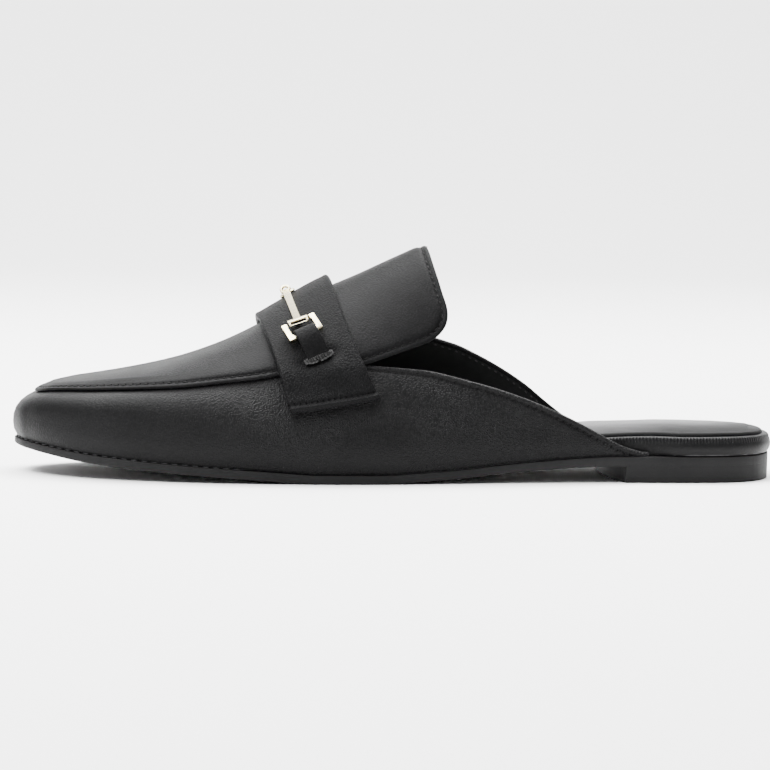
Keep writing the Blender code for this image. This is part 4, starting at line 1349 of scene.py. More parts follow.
def make_strap(looks, materials):
    """The saddle strap, pressed in by its end rows and round the bar tacks."""
    across = edge_spread(STRAP_ROWS, STRAP_THICKNESS / 2, STRAP_WIDTH)
    near = np.array(EDGE_ROWS) * MM / STRAP_RUN
    middle = np.linspace(near[-1], 1 - near[-1], STRAP_COLUMNS)
    lengthwise = np.concatenate((near[:-1], middle, 1 - near[-2::-1]))
    u, v = np.meshgrid(mix(-1.0, 1.0, lengthwise), across, indexing="ij")
    points = strap_skin(v, u)
    bm = grid_sheet(points)
    base, normals = vert_table(bm)
    rim_distance, _ = rim_field(base, outer_rim(points))
    ends = [rim_field(base, points[k]) for k in (0, -1)]
    outer_end = ends[0][0] < ends[1][0]
    row = np.where(outer_end, ends[0][0], ends[1][0])
    along = np.where(outer_end, ends[0][1], ends[1][1])
    half = STRAP_THICKNESS / 2
    left = round_rim(rim_distance, half, STRAP_FULLNESS)
    relief = looks.edge_bead * STRAP_BEAD_SHARE * bell(rim_distance - BEAD_PLACE, STRAP_BEAD_WIDTH)
    relief += looks.edge_bead * STRAP_END_SHARE * bell(row - looks.strap_row_inner, STRAP_END_WIDTH)
    relief -= looks.stitch_trough * STRAP_TROUGH_SHARE * bell(row - looks.strap_row, STRAP_TROUGH_WIDTH)
    for side in (-1, 1):
        local = np.array(tack_frame(side).inverted()) @ np.vstack((base.T, np.ones(len(base))))
        beyond = np.hypot(local[0], np.maximum(np.abs(local[1]) - TACK_LENGTH / 2, 0.0))
        relief -= TACK_DENT * bell(beyond, TACK_DENT_REACH)
    store(bm, "row", row)
    store(bm, "along", along)
    outer = base + normals * (half + half * left + relief * left)[:, None]
    inner = base + normals * (half - half * left)[:, None]
    two_sided(bm, outer, inner)
    finish("saddle_strap_leather", bm, (materials["strap"],), ("saddle_strap",))
    return base, normals, points


def outer_rim(points):
    """The closed line round a table of points."""
    return np.concatenate((points[:, 0], points[-1, 1:], points[-2::-1, -1], points[0, -2::-1]))


def edge_spread(count, half, length):
    """Shares from 0 to 1, close together at both ends so that a rounded rim keeps its shape."""
    angles = [k / RIM_STEPS * math.pi / 2 for k in range(RIM_STEPS + 1)]
    near = [half * (1 - math.cos(angle)) / length for angle in angles]
    inner = list(np.linspace(near[-1], 1 - near[-1], count + 1))
    return np.array(near[:-1] + inner + [1 - value for value in near[:-1][::-1]])


def plate(name, turns, levels, materials, replaced, front_bulge=0.0, top_material=0):
    """Flat piece built up level by level; a level gives its inset and its height at each station."""
    bm = bmesh.new()
    count = len(turns) - 1
    bmesh.ops.create_grid(bm, x_segments=count, y_segments=PLATE_COLUMNS, size=0.5)
    bm.verts.index_update()
    column = bm.verts.layers.int.new("column")
    line = bm.verts.layers.int.new("line")
    row_layer = bm.verts.layers.float.new("row")
    along_layer = bm.verts.layers.float.new("along")
    for vert in bm.verts:
        vert[column], vert[line] = vert.index % (count + 1), vert.index // (count + 1)
    turns = np.asarray(turns, float)
    edge = outline(turns, -1)
    s = edge[:, 0]
    run = np.concatenate(([0.0], np.cumsum(np.linalg.norm(np.diff(edge, axis=0), axis=1))))
    cross = np.linspace(0.0, 1.0, PLATE_COLUMNS + 1)
    middle = 1 - (2 * cross - 1) ** 2
    front = (1 - smoothstep((turns - turns[0]) / 2)) if front_bulge else np.zeros(len(turns))

    def place(verts, level):
        inset, z = level
        outer = outline(turns, -1, inset(s))
        inner = outline(turns, 1, inset(s))
        points = outer[:, None] + (inner - outer)[:, None] * cross[None, :, None]
        points[..., 0] -= front_bulge * middle[None] * front[:, None]
        tops = z(points[..., 0], middle[None])
        local_top = levels[-1][1](points[..., 0], 0.0)
        for vert in verts:
            i, j = vert[column], vert[line]
            vert.co = (points[i, j, 0], points[i, j, 1], tops[i, j])
            vert[row_layer] = float(local_top[i, j] - tops[i, j])
            vert[along_layer] = float(run[i]) + FAR_SIDE_RUN * (j > PLATE_COLUMNS // 2)

    place(bm.verts, levels[0])
    bmesh.ops.remove_doubles(bm, verts=bm.verts, dist=WELD)
    top = list(bm.faces)
    for number, level in enumerate(levels[1:]):
        made = bmesh.ops.extrude_face_region(bm, geom=top)["geom"]
        covered = [face for face in top if number and face.is_valid]
        bmesh.ops.delete(bm, geom=covered, context="FACES_ONLY")
        top = [item for item in made if isinstance(item, bmesh.types.BMFace)]
        place({v for face in top for v in face.verts}, level)
    for face in top:
        face.material_index = top_material
    return finish(name, bm, materials, replaced)


def plate_turns(first, extra=()):
    """Stations of a flat piece, closer together at the toe and heel."""
    last = len(PLAN) - 1
    turns = [k / PLATE_STEPS for k in range(PLATE_STEPS * last + 1) if k / PLATE_STEPS > first]
    return sorted({float(first), *turns, *(float(turn) for turn in extra)})


def same_height(z):
    """Height of a level that is the same everywhere on it."""
    return lambda s, middle: np.full_like(s, z)


def make_sole(materials):
    """The outsole, and the heel lift under it."""
    round_steps = np.linspace(0.0, math.pi / 2, 4)
    top_round = SOLE_EDGE_ROUND * SOLE_TOP_ROUND_SHARE
    levels = []
    for turn in round_steps:
        levels.append((lambda s, t=turn: sole_inset(s) + SOLE_EDGE_ROUND * (1 - math.sin(t)),
                       lambda s, middle, t=turn: underside(s) + SOLE_EDGE_ROUND * (1 - math.cos(t))))
    for turn in round_steps[::-1]:
        levels.append((lambda s, t=turn: sole_inset(s) + top_round * (1 - math.sin(t)),
                       lambda s, middle, t=turn: sole_top(s) - top_round * (1 - math.cos(t))))
    plate("outsole_rubber", plate_turns(0.0), levels, (materials["rubber"],), ("outsole",))
    block_top = HEEL_BLOCK_HEIGHT + GAP
    levels = [
        (lambda s: sole_inset(s) + HEEL_RAKE + HEEL_EDGE_ROUND, same_height(0.0)),
        (lambda s: sole_inset(s) + HEEL_RAKE + HEEL_EDGE_ROUND * 0.3, same_height(HEEL_EDGE_ROUND * 0.3)),
        (lambda s: sole_inset(s) + HEEL_RAKE, same_height(HEEL_EDGE_ROUND)),
        (lambda s: sole_inset(s) + HEEL_RAKE * 0.5, same_height(block_top / 2)),
        (sole_inset, same_height(block_top)),
    ]
    plate("heel_lift", plate_turns(turn_at(BREAST_SHARE * LENGTH)), levels, (materials["rubber"],),
          ("heel_block",), front_bulge=BREAST_BULGE)


def make_footbed(materials):
    """The wrapped footbed, and the thin padded lining on it."""
    flare = turn_at(FLARE_START * LENGTH + FLARE_LENGTH * np.linspace(0.0, 1.0, 7))
    turns = plate_turns(0.0, flare)

    def rounded(s):
        return smoothstep((s - FLARE_START * LENGTH) / FLARE_LENGTH)

    levels = []
    for t in np.linspace(0.0, 1.0, 8):
        swell = math.sin(math.pi * t) * FOOTBED_SWELL
        foot = FOOTBED_FOOT * (1 - t) ** 4
        levels.append((
            lambda s, a=swell, b=foot: bed_inset(s) + (b - a) * rounded(s),
            lambda s, middle, t=t: mix(sole_top(s) + GAP, bed_top(s) - FOOTBED_ROUND, t)))
    for angle in np.linspace(0.0, math.pi / 2, 6)[1:]:
        levels.append((
            lambda s, a=angle: bed_inset(s) + FOOTBED_ROUND * (1 - math.cos(a)),
            lambda s, middle, a=angle: bed_top(s) - FOOTBED_ROUND * (1 - math.sin(a))))
    plate("footbed_cover", turns, levels, (materials["footbed"],), ("footbed",))

    def ripple(s):
        return sum(wave.height * np.sin(s / wave.run + wave.turn) for wave in LINING_WAVES)

    def lining_inset(s):
        return bed_inset(s) + FOOTBED_ROUND + LINING_INSET + ripple(s)

    levels = []
    for t in np.linspace(0.0, 1.0, 5):
        levels.append((
            lambda s, t=t: lining_inset(s) + LINING_EDGE_ROUND * (1 - math.cos(t * math.pi / 2)),
            lambda s, middle, t=t: bed_top(s) + GAP + LINING_THICKNESS * math.sin(t * math.pi / 2)))
    for t in np.linspace(0.0, 1.0, 5)[1:]:
        levels.append((
            lambda s, t=t: lining_inset(s) + LINING_EDGE_ROUND + LINING_SLOPE * t,
            lambda s, middle, t=t: (bed_top(s) + GAP + LINING_THICKNESS
                                    + LINING_CROWN * t * mix(LINING_SHOULDER, 1.0, middle))))
    piece = plate("sock_lining_leather", turns, levels, (materials["sock"],),
                  ("sock_lining",))


def ring_shape(bm, radius, wire, matrix):
    """A closed round ring of round wire."""
    upright = Matrix.Translation((radius, 0, 0)) @ Matrix.Rotation(math.pi / 2, 4, "X")
    made = bmesh.ops.create_circle(bm, segments=20, radius=wire / 2, matrix=upright)
    edges = list({edge for vert in made["verts"] for edge in vert.link_edges})
    bmesh.ops.spin(bm, geom=edges + made["verts"], cent=(0, 0, 0), axis=(0, 0, 1),
                   angle=math.tau, steps=40, use_merge=True)
    bmesh.ops.remove_doubles(bm, verts=bm.verts, dist=WELD)
    bmesh.ops.transform(bm, matrix=matrix, verts=bm.verts)
    bmesh.ops.recalc_face_normals(bm, faces=bm.faces)


def joined(shapes):
    """One closed mesh from a first shape and the shapes added to it or cut from it."""
    objects = []
    for number, (operation, bm) in enumerate(shapes):
        mesh = bpy.data.meshes.new(f"shape_{number}")
        bmesh.ops.recalc_face_normals(bm, faces=bm.faces)
        bm.to_mesh(mesh)
        bm.free()
        shape = bpy.data.objects.new(f"shape_{number}", mesh)
        bpy.context.scene.collection.objects.link(shape)
        objects.append(shape)
        if number:
            boolean = objects[0].modifiers.new(f"join_{number}", "BOOLEAN")
            boolean.operation = operation
            boolean.solver = "EXACT"
            boolean.object = shape
    bpy.context.view_layer.update()
    graph = bpy.context.evaluated_depsgraph_get()
    result = bpy.data.meshes.new_from_object(objects[0].evaluated_get(graph))
    bm = bmesh.new()
    bm.from_mesh(result)
    bpy.data.meshes.remove(result)
    for shape in objects:
        mesh = shape.data
        bpy.data.objects.remove(shape, do_unlink=True)
        bpy.data.meshes.remove(mesh)
    return bm


def boxed(size, centre, round_by, matrix):
    """A box with its edges rounded."""
    bm = bmesh.new()
    made = bmesh.ops.create_cube(bm, size=1.0)
    bmesh.ops.scale(bm, vec=size, verts=made["verts"])
    bmesh.ops.translate(bm, vec=centre, verts=made["verts"])
    bmesh.ops.transform(bm, matrix=matrix, verts=made["verts"])
    bmesh.ops.bevel(bm, geom=list(bm.edges), offset=round_by, offset_type="OFFSET", segments=3,
                    profile=0.5, affect="EDGES", material=-1)
    return bm


def bit_half(side):
    """The shapes of one half of the bit: its bar, its stirrup and the eye or link at its end."""
    axes, length = bit_frame(side)
    if side < 0:
        ring_axes = axes @ Matrix.Rotation(EYE_TURN, 4, "Y")
        radius, wire = EYE_RADIUS - EYE_WIRE / 2, EYE_WIRE
        bar_start = EYE_RADIUS - EYE_WIRE + BIT_EDGE_ROUND
    else:
        ring_axes, radius = strap_frame(BIT_PLACE, 0.0, LINK_LIFT), LINK_RADIUS - LINK_WIRE / 2
        wire, bar_start = LINK_WIRE, 0.0
    leg_y = (CROSSBAR_LENGTH - STIRRUP_LEG - GAP) / 2
    bar = (length - bar_start, BIT_BAR_WIDTH, BIT_BAR_THICKNESS)
    leg = (STIRRUP_DEPTH, STIRRUP_LEG, STIRRUP_THICKNESS)
    cross = (CROSSBAR_WIDTH, CROSSBAR_LENGTH, CROSSBAR_THICKNESS)
    lower = (STIRRUP_BAR, CROSSBAR_LENGTH - 2 * GAP, STIRRUP_BAR)
    shapes = [("", boxed(bar, ((length + bar_start) / 2, 0, 0), BIT_EDGE_ROUND, axes)),
              ("UNION", boxed(cross, (length, 0, 0), BIT_EDGE_ROUND, axes))]
    for y in (-leg_y, leg_y):
        centre = (length + STIRRUP_DEPTH / 2, y, 0)
        shapes.append(("UNION", boxed(leg, centre, BIT_EDGE_ROUND, axes)))
    shapes.append(("UNION", boxed(lower, (length + STIRRUP_DEPTH, 0, 0), STIRRUP_BAR / 4, axes)))
    eye = bmesh.new()
    ring_shape(eye, radius, wire, ring_axes)
    shapes.append(("UNION", eye))
    if side > 0:
        mouth = (2 * LINK_RADIUS, BIT_BAR_WIDTH + 2 * GAP, BIT_BAR_THICKNESS + 2 * GAP)
        other_axes = bit_frame(-1)[0]
        shapes.append(("DIFFERENCE", boxed(mouth, (LINK_RADIUS, 0, 0), BIT_EDGE_ROUND, other_axes)))
    return shapes


def bit_ring(side):
    """The shapes of one ring: a rounded frame, cut open where it holds the stirrup."""
    hang = ring_frame_at(side)
    centre = ((RING_HEIGHT - RING_WIRE) / 2, 0, 0)
    through = 4 * RING_WIRE
    hole = (RING_HEIGHT - 2 * RING_WIRE, RING_LENGTH - 2 * RING_WIRE, through)
    gate = (2 * RING_WIRE, CROSSBAR_LENGTH + 4 * GAP, through)
    return [("", boxed((RING_HEIGHT, RING_LENGTH, RING_WIRE), centre, RING_EDGE_ROUND, hang)),
            ("DIFFERENCE", boxed(hole, centre, RING_EDGE_ROUND, hang)),
            ("DIFFERENCE", boxed(gate, (0, 0, 0), RING_EDGE_ROUND, hang))]


def make_bit(materials):
    for side, word in SIDE_WORDS:
        metal = (materials["metal"],)
        finish(f"snaffle_{word}", joined(bit_half(side)), metal, (f"bit_{word}",),
               METAL_ANGLE)
        finish(f"snaffle_ring_{word}", joined(bit_ring(side)), metal, (f"ring_{word}",),
               METAL_ANGLE)


def tab_path():
    """Side view of a tab: from its foot on the strap over the ring's lower bar and back under it."""
    bar_x = RING_HEIGHT - RING_WIRE
    foot_x = bar_x + TAB_LENGTH
    knots = [(foot_x, TAB_THICKNESS + TAB_FOOT - TAB_BEND)]
    for way, rise in TAB_FALL:
        knots.append((mix(bar_x, foot_x, way), TAB_BEND * rise))
    for angle in np.linspace(0.5 * math.pi, 1.5 * math.pi, TAB_BEND_POINTS):
        knots.append((bar_x + math.cos(angle) * TAB_BEND, math.sin(angle) * TAB_BEND))
    knots.append((mix(bar_x, foot_x, TAB_TAIL), -TAB_BEND))
    knots = np.array(knots)
    run = np.concatenate(([0.0], np.cumsum(np.linalg.norm(np.diff(knots, axis=0), axis=1))))
    curves = [smooth_through(run, knots[:, k]) for k in range(2)]
    wanted = np.linspace(0.0, run[-1], TAB_POINTS)
    return np.array([[curve(at) for curve in curves] for at in wanted])


def make_tabs(materials):
    """The tabs that hold the rings, each with its bar tack."""
    y = mix(-TAB_WIDTH / 2, TAB_WIDTH / 2, edge_spread(TAB_ROWS, TAB_THICKNESS / 2, TAB_WIDTH))
    half = TAB_THICKNESS / 2
    for side, word in SIDE_WORDS:
        hang = np.array(ring_frame_at(side))
        path = tab_path()
        local = np.zeros((len(path), len(y), 4))
        local[..., 0] = path[:, None, 0]
        local[..., 1] = y[None]
        local[..., 2] = path[:, None, 1]
        local[..., 3] = 1.0
        points = (local @ hang.T)[..., :3]
        bm = grid_sheet(points)
        base, normals = vert_table(bm)
        middle = (hang @ np.array((RING_HEIGHT - RING_WIRE + TAB_LENGTH * TAB_MIDDLE, 0, 0, 1)))[:3]
        inward = np.sign(np.sum(normals * (middle - base)))
        gap, along = rim_field(base, outer_rim(points))
        left = round_rim(gap, half)
        store(bm, "row", gap)
        store(bm, "along", along)
        outer = base + normals * inward * (half - half * left)[:, None]
        inner = base + normals * inward * (half + half * left)[:, None]
        two_sided(bm, outer, inner)
        finish(f"bit_tab_{word}", bm, (materials["tab"],), (f"tab_{word}",))
        make_bar_tack(side, word, materials)


def tack_frame(side):
    """Axes where a tab is sewn down: X down the strap, Y across the tab, Z off the leather."""
    hang = ring_frame_at(side)
    foot = hang @ Vector((RING_HEIGHT - RING_WIRE + TAB_LENGTH, 0, TAB_THICKNESS + TAB_FOOT - TAB_BEND))
    v, u = place_on_strap(foot, side)
    ground = strap_frame(v, u, 0.0)
    off = ground.col[2].to_3d()
    down = hang.col[0].to_3d()
    down = (down - off * down.dot(off)).normalized()
    axes = Matrix((down, off.cross(down), off)).transposed().to_4x4()
    axes.translation = ground.translation
    return axes


def make_bar_tack(side, word, materials):
    """Heavy thread bar that sews the tab's foot to the strap."""
    axes = tack_frame(side) @ Matrix.Translation((0.0, 0.0, -TACK_DENT / 2))
    bm = bmesh.new()
    for k in range(TACK_THREADS):
        way = 2 * k / (TACK_THREADS - 1) - 1
        bow = math.sqrt(1 - TACK_BOW * way**2)
        turn = Matrix.Rotation(TACK_TWIST * math.sin(k * TACK_TWIST_STEP), 4, "Z")
        local = Matrix.Translation((0.0, way * TACK_LENGTH / 2, TACK_RISE * bow)) @ turn
        width = TACK_LENGTH / TACK_THREADS * TACK_OVERLAP
        size = Matrix.Diagonal((TACK_WIDTH * bow, width, TACK_RISE * TACK_HEIGHT_SHARE, 1.0))
        bmesh.ops.create_uvsphere(bm, u_segments=12, v_segments=8, radius=0.5, matrix=axes @ local @ size)
    for face in bm.faces:
        face.material_index = 1
    rim = []
    for angle in np.linspace(0.0, math.tau, TACK_RIM_POINTS + 1):
        wave = 1 + TACK_RIM_WAVE * math.sin(TACK_RIM_WAVES * angle)
        rim.append(axes @ Vector((math.cos(angle) * TACK_WIDTH * TACK_RIM_SHARE.across * wave,
                                  math.sin(angle) * TACK_LENGTH * TACK_RIM_SHARE.along,
                                  TACK_RISE * TACK_RIM_SHARE.up)))
    rim = np.array(rim)
    offs = np.tile(np.array(axes.col[2].to_3d()), (len(rim), 1))
    sew(bm, rim, offs, 0.0, row_length(rim), TACK_RIM_PITCH, TACK_RIM_STITCH, TACK_RIM_THREAD, SHALLOW_SINK)
    finish(f"bar_tack_{word}", bm, (materials["welt_thread"], materials["tack_thread"]))


def place_on_strap(point, side):
    """The strap place (across, along) whose surface lies nearest to a point."""
    across, along = np.linspace(*TACK_SEARCH_ACROSS), side * np.linspace(*TACK_SEARCH_ALONG)
    v, u = np.meshgrid(across, along, indexing="ij")
    gap = np.linalg.norm(strap_skin(v, u) - np.array(point), axis=-1)
    i, j = np.unravel_index(np.argmin(gap), gap.shape)
    return float(v[i, j]), float(u[i, j])


def sew_wings(looks, materials, upper):
    """The rows along the wings' top edges, outside and inside."""
    line, offs = offset_line(*upper, looks.edge_row)
    line = line - offs * looks.stitch_trough
    behind = line[:, 0] > THROAT_SHARE * LENGTH - ROW_AHEAD
    on_wing = [behind & ((line[:, 1] - RIDGE_SHIFT) * side > WING_ROW_SIDE) for side in (-1, 1)]
    bm = bmesh.new()
    for picked in on_wing:
        sew(bm, line[picked], offs[picked], WING_ROW_START, row_length(line[picked]), looks.stitch_pitch,
            looks.stitch_length, looks.thread_width)
    finish("topline_stitches", bm, (materials["thread"],))
    inside_line = line - offs * (WALL - looks.stitch_trough)
    bm = bmesh.new()
    for side_picked in on_wing:
        picked = side_picked & (line[:, 0] < INSIDE_ROW_END * LENGTH)
        sew(bm, inside_line[picked], -offs[picked], WING_ROW_START, row_length(line[picked]),
            looks.stitch_pitch, looks.stitch_length * INSIDE_STITCH_SHARE, looks.thread_width, SHALLOW_SINK)
    finish("inside_stitches", bm, (materials["welt_thread"],))


def sew_apron(looks, materials, apron):
    """The row round the apron and the tongue."""
    at_row = mix(APRON_EDGE, APRON_THICKNESS, smoothstep(looks.apron_row / APRON_SKIVE))
    line, offs = offset_line(*apron, looks.apron_row)
    line = line + offs * (at_row - looks.stitch_trough)
    bm = bmesh.new()
    sew(bm, line, offs, APRON_ROW_START, row_length(line), looks.stitch_pitch, looks.stitch_length,
        looks.thread_width)
    finish("apron_stitches", bm, (materials["thread"],))


def sew_strap(looks, materials, strap):
    """The row across each end of the strap."""
    base, normals, points = strap
    bm = bmesh.new()
    for end in (0, -1):
        line, offs = offset_line(base + normals * STRAP_THICKNESS, normals, points[end], looks.strap_row)
        line = line - offs * looks.stitch_trough
        sew(bm, line, offs, STRAP_ROW_START, row_length(line) - STRAP_ROW_START, STRAP_PITCH,
            STRAP_PITCH * STRAP_STITCH_SHARE, looks.thread_width * STRAP_THREAD_SHARE, SHALLOW_SINK)
    finish("strap_stitches", bm, (materials["thread"],))


def sew_welt(looks, materials):
    """The stitches that show between the upper and the sole, round the toe."""
    bm = bmesh.new()
    turns = np.linspace(WELT_START_TURN, float(turn_at(WELT_END * LENGTH)), WELT_SAMPLES)
    for side in (-1, 1):
        s = outline(turns, side)[:, 0]
        plan = outline(turns, side, sole_inset(s) + WELT_INSET)
        line = np.column_stack((plan, sole_top(s) + WELT_RISE))
        offs = np.tile((0.0, 0.0, 1.0), (len(line), 1))
        sew(bm, line, offs, 0.0, row_length(line), looks.welt_pitch, looks.welt_pitch * WELT_STITCH_SHARE,
            looks.thread_width * WELT_THREAD_SHARE)
    finish("welt_stitches", bm, (materials["welt_thread"],))


def row_length(line):
    return float(np.linalg.norm(np.diff(line, axis=0), axis=1).sum())


def make_materials(looks):
    pitch = looks.stitch_pitch
    return {
        "upper": leather("upper_leather", looks, looks.leather_colour, 1.0, 0.10,
                         ((looks.edge_row, pitch),), roughness=0.42, shine=2.5),
        "apron": leather("apron_leather", looks, looks.apron_colour, 0.45, 0.06,
                         ((looks.apron_row, pitch),), roughness=0.42),
        "strap": leather("strap_leather", looks, looks.leather_colour, 0.9, 0.08,
                         ((looks.strap_row, STRAP_PITCH),)),
        "tab": leather("tab_leather", looks, looks.leather_colour, 0.5, 0.05, roughness=0.4),
        "inside": inside_lining(looks),
        "footbed": footbed_leather(looks),
        "sock": sock_leather(looks),
        "rubber": sole_rubber(looks),
        "metal": bit_metal(looks),
        "thread": thread(looks),
        "welt_thread": plain_thread("welt_thread", tone(looks.thread_colour, 8.0), 0.55, 0.1),
        "tack_thread": plain_thread("tack_thread", tone(looks.thread_colour, 2.2), 0.5, 0.3),
    }


# What one step makes and a later one needs
MADE = {}


class MuleLooks(bpy.types.PropertyGroup):
    """Finish of the leather, thread, lining, rubber and metal."""

    grain_size: FloatProperty(
        name="Grain size", description="Width of one pebble of the milled grain",
        default=0.00056, min=0.0002, max=0.003, precision=5, subtype="DISTANCE", unit="LENGTH")
    grain_depth: FloatProperty(
        name="Grain depth", description="Depth of the grain's valleys",
        default=0.00022, min=0.0, max=0.001, precision=5, subtype="DISTANCE", unit="LENGTH")
    crease_depth: FloatProperty(
        name="Crease depth", description="Depth of the deepest crease in the sides",
        default=0.00055, min=0.0, max=0.002, precision=5, subtype="DISTANCE", unit="LENGTH")
    edge_bead: FloatProperty(
        name="Edge bead", description="How far a folded edge stands proud",
        default=0.00028, min=0.0, max=0.001, precision=5, subtype="DISTANCE", unit="LENGTH")
    stitch_trough: FloatProperty(
        name="Stitch trough", description="How deep a stitch row pulls the leather in",
        default=0.00032, min=0.0, max=0.001, precision=5, subtype="DISTANCE", unit="LENGTH")
    stitch_pitch: FloatProperty(
        name="Stitch pitch", description="Distance from one stitch to the next",
        default=0.0026, min=0.001, max=0.006, precision=5, subtype="DISTANCE", unit="LENGTH")
    stitch_length: FloatProperty(
        name="Stitch length", description="Visible length of one stitch",
        default=0.0019, min=0.0005, max=0.005, precision=5, subtype="DISTANCE", unit="LENGTH")
    thread_width: FloatProperty(
        name="Thread width", description="Thickness of the sewing thread",
        default=0.00048, min=0.0001, max=0.002, precision=5, subtype="DISTANCE", unit="LENGTH")
    welt_pitch: FloatProperty(
        name="Welt stitch pitch", description="Distance between the stitches beside the sole",
        default=0.0034, min=0.001, max=0.01, precision=5, subtype="DISTANCE", unit="LENGTH")
    edge_row: FloatProperty(
        name="Top edge row", description="Distance of the stitch row from the upper's top edge",
        default=0.0021, min=0.0005, max=0.01, precision=5, subtype="DISTANCE", unit="LENGTH")
    apron_row: FloatProperty(
        name="Apron row", description="Distance of the stitch row from the apron's edge",
        default=0.0019, min=0.0005, max=0.01, precision=5, subtype="DISTANCE", unit="LENGTH")
    strap_row: FloatProperty(
        name="Strap row", description="Distance of the stitch row from the strap's end",
        default=0.0025, min=0.0005, max=0.01, precision=5, subtype="DISTANCE", unit="LENGTH")
    strap_row_inner: FloatProperty(
        name="Strap end line", description="Distance of the raised line from the strap's end",
        default=0.0011, min=0.0005, max=0.02, precision=5, subtype="DISTANCE", unit="LENGTH")
    leather_gloss: FloatProperty(
        name="Leather gloss", description="Strength of the leather's mirror-like reflection",
        default=0.03, min=0.0, max=1.0)
    leather_colour: FloatVectorProperty(
        name="Leather", description="Colour of upper and strap", size=4, subtype="COLOR",
        default=(0.0048, 0.0048, 0.0050, 1.0), min=0.0, max=1.0)
    apron_colour: FloatVectorProperty(
        name="Apron", description="Colour of apron and tongue", size=4, subtype="COLOR",
        default=(0.0054, 0.0054, 0.0056, 1.0), min=0.0, max=1.0)
    inside_colour: FloatVectorProperty(
        name="Inside", description="Colour of the lining inside the upper", size=4, subtype="COLOR",
        default=(0.006, 0.006, 0.006, 1.0), min=0.0, max=1.0)
    lining_colour: FloatVectorProperty(
        name="Sock lining", description="Colour of the sock lining", size=4, subtype="COLOR",
        default=(0.034, 0.034, 0.035, 1.0), min=0.0, max=1.0)
    rubber_colour: FloatVectorProperty(
        name="Rubber", description="Colour of outsole and heel", size=4, subtype="COLOR",
        default=(0.0058, 0.0058, 0.0060, 1.0), min=0.0, max=1.0)
    metal_colour: FloatVectorProperty(
        name="Metal", description="Colour of the bit", size=4, subtype="COLOR",
        default=(0.70, 0.62, 0.41, 1.0), min=0.0, max=1.0)
    thread_colour: FloatVectorProperty(
        name="Thread", description="Colour of the sewing thread", size=4, subtype="COLOR",
        default=(0.0035, 0.0035, 0.0035, 1.0), min=0.0, max=1.0)


class MuleStage(bpy.types.PropertyGroup):
    """Place of the camera, and the strength of the studio light."""

    camera_distance: FloatProperty(
        name="Camera distance", description="From the camera to the point that it looks at",
        default=1.110, min=0.2, max=5.0, subtype="DISTANCE", unit="LENGTH")
    camera_yaw: FloatProperty(
        name="Camera yaw", description="Turn of the view towards the heel",
        default=math.radians(6.0), subtype="ANGLE", unit="ROTATION")
    camera_pitch: FloatProperty(
        name="Camera pitch", description="How far the view looks down",
        default=math.radians(4.3), subtype="ANGLE", unit="ROTATION")
    camera_roll: FloatProperty(
        name="Camera roll", description="Turn of the picture about the line of sight",
        default=math.radians(0.95), subtype="ANGLE", unit="ROTATION")
    aim: FloatVectorProperty(
        name="Aim", description="Point that the camera looks at", size=3, subtype="TRANSLATION",
        default=(-0.0037, 0.0010, 0.0296))
    lens: FloatProperty(
        name="Lens", description="Focal length in millimetres on a 36 mm wide sensor",
        default=153.8, min=20.0, max=400.0)
    sky_light: FloatProperty(
        name="Room light", description="Strength of the even light from all round",
        default=0.55, min=0.0, max=10.0)
    key_light: FloatProperty(
        name="Top light", description="Power of the large light above the shoe in watts",
        default=84.0, min=0.0, max=900.0)
    fill_light: FloatProperty(
        name="Front light", description="Power of the soft light beside the camera in watts",
        default=64.0, min=0.0, max=900.0)
    back_light: FloatProperty(
        name="Back light", description="Power of the light on the sweep behind the shoe in watts",
        default=160.0, min=0.0, max=900.0)
    floor_colour: FloatVectorProperty(
        name="Floor", description="Colour of the floor and the sweep behind it", size=4,
        subtype="COLOR", default=(0.95, 0.95, 0.95, 1.0), min=0.0, max=1.0)


def make_floor(stage):
    """A pale floor that sweeps up behind the shoe without an edge."""
    bm = bmesh.new()
    bmesh.ops.create_grid(bm, x_segments=2, y_segments=FLOOR_ROWS, size=0.5)
    bm.verts.index_update()
    for vert in bm.verts:
        column, row = vert.index % 3, vert.index // 3
        x = (column - 1) * FLOOR_HALF_WIDTH
        at = row / FLOOR_ROWS
        if at < FLOOR_FLAT_SHARE:
            vert.co = (x, mix(FLOOR_NEAR, FLOOR_BEND, at / FLOOR_FLAT_SHARE), 0.0)
        elif at < FLOOR_BEND_SHARE:
            angle = (at - FLOOR_FLAT_SHARE) / (FLOOR_BEND_SHARE - FLOOR_FLAT_SHARE) * math.pi / 2
            vert.co = (x, FLOOR_BEND + FLOOR_RADIUS * math.sin(angle), FLOOR_RADIUS * (1 - math.cos(angle)))
        else:
            up = mix(FLOOR_RADIUS, FLOOR_TOP, (at - FLOOR_BEND_SHARE) / (1 - FLOOR_BEND_SHARE))
            vert.co = (x, FLOOR_BEND + FLOOR_RADIUS, up)
    bmesh.ops.recalc_face_normals(bm, faces=bm.faces)
    mesh = bpy.data.meshes.new("floor")
    bm.to_mesh(mesh)
    bm.free()
    mesh.shade_smooth()
    made = Finish("floor_paper", 0.9)
    patch = made.noise(6.0)
    colour = stage.floor_colour
    made.feed("Base Color", made.blend(patch, tone(colour, 0.99), tone(colour, 1.01)))
    mesh.materials.append(made.material)
    floor = bpy.data.objects.new("floor", mesh)
    bpy.context.scene.collection.objects.link(floor)


def add_light(name, power, size, place, target):
    """A soft rectangular light that faces its target."""
    data = bpy.data.lights.new(name, "AREA")
    data.energy = power
    data.shape = "RECTANGLE"
    data.size, data.size_y = size
    light = bpy.data.objects.new(name, data)
    light.location = place
    light.rotation_euler = (Vector(target) - Vector(place)).to_track_quat("-Z", "Y").to_euler()
    bpy.context.scene.collection.objects.link(light)


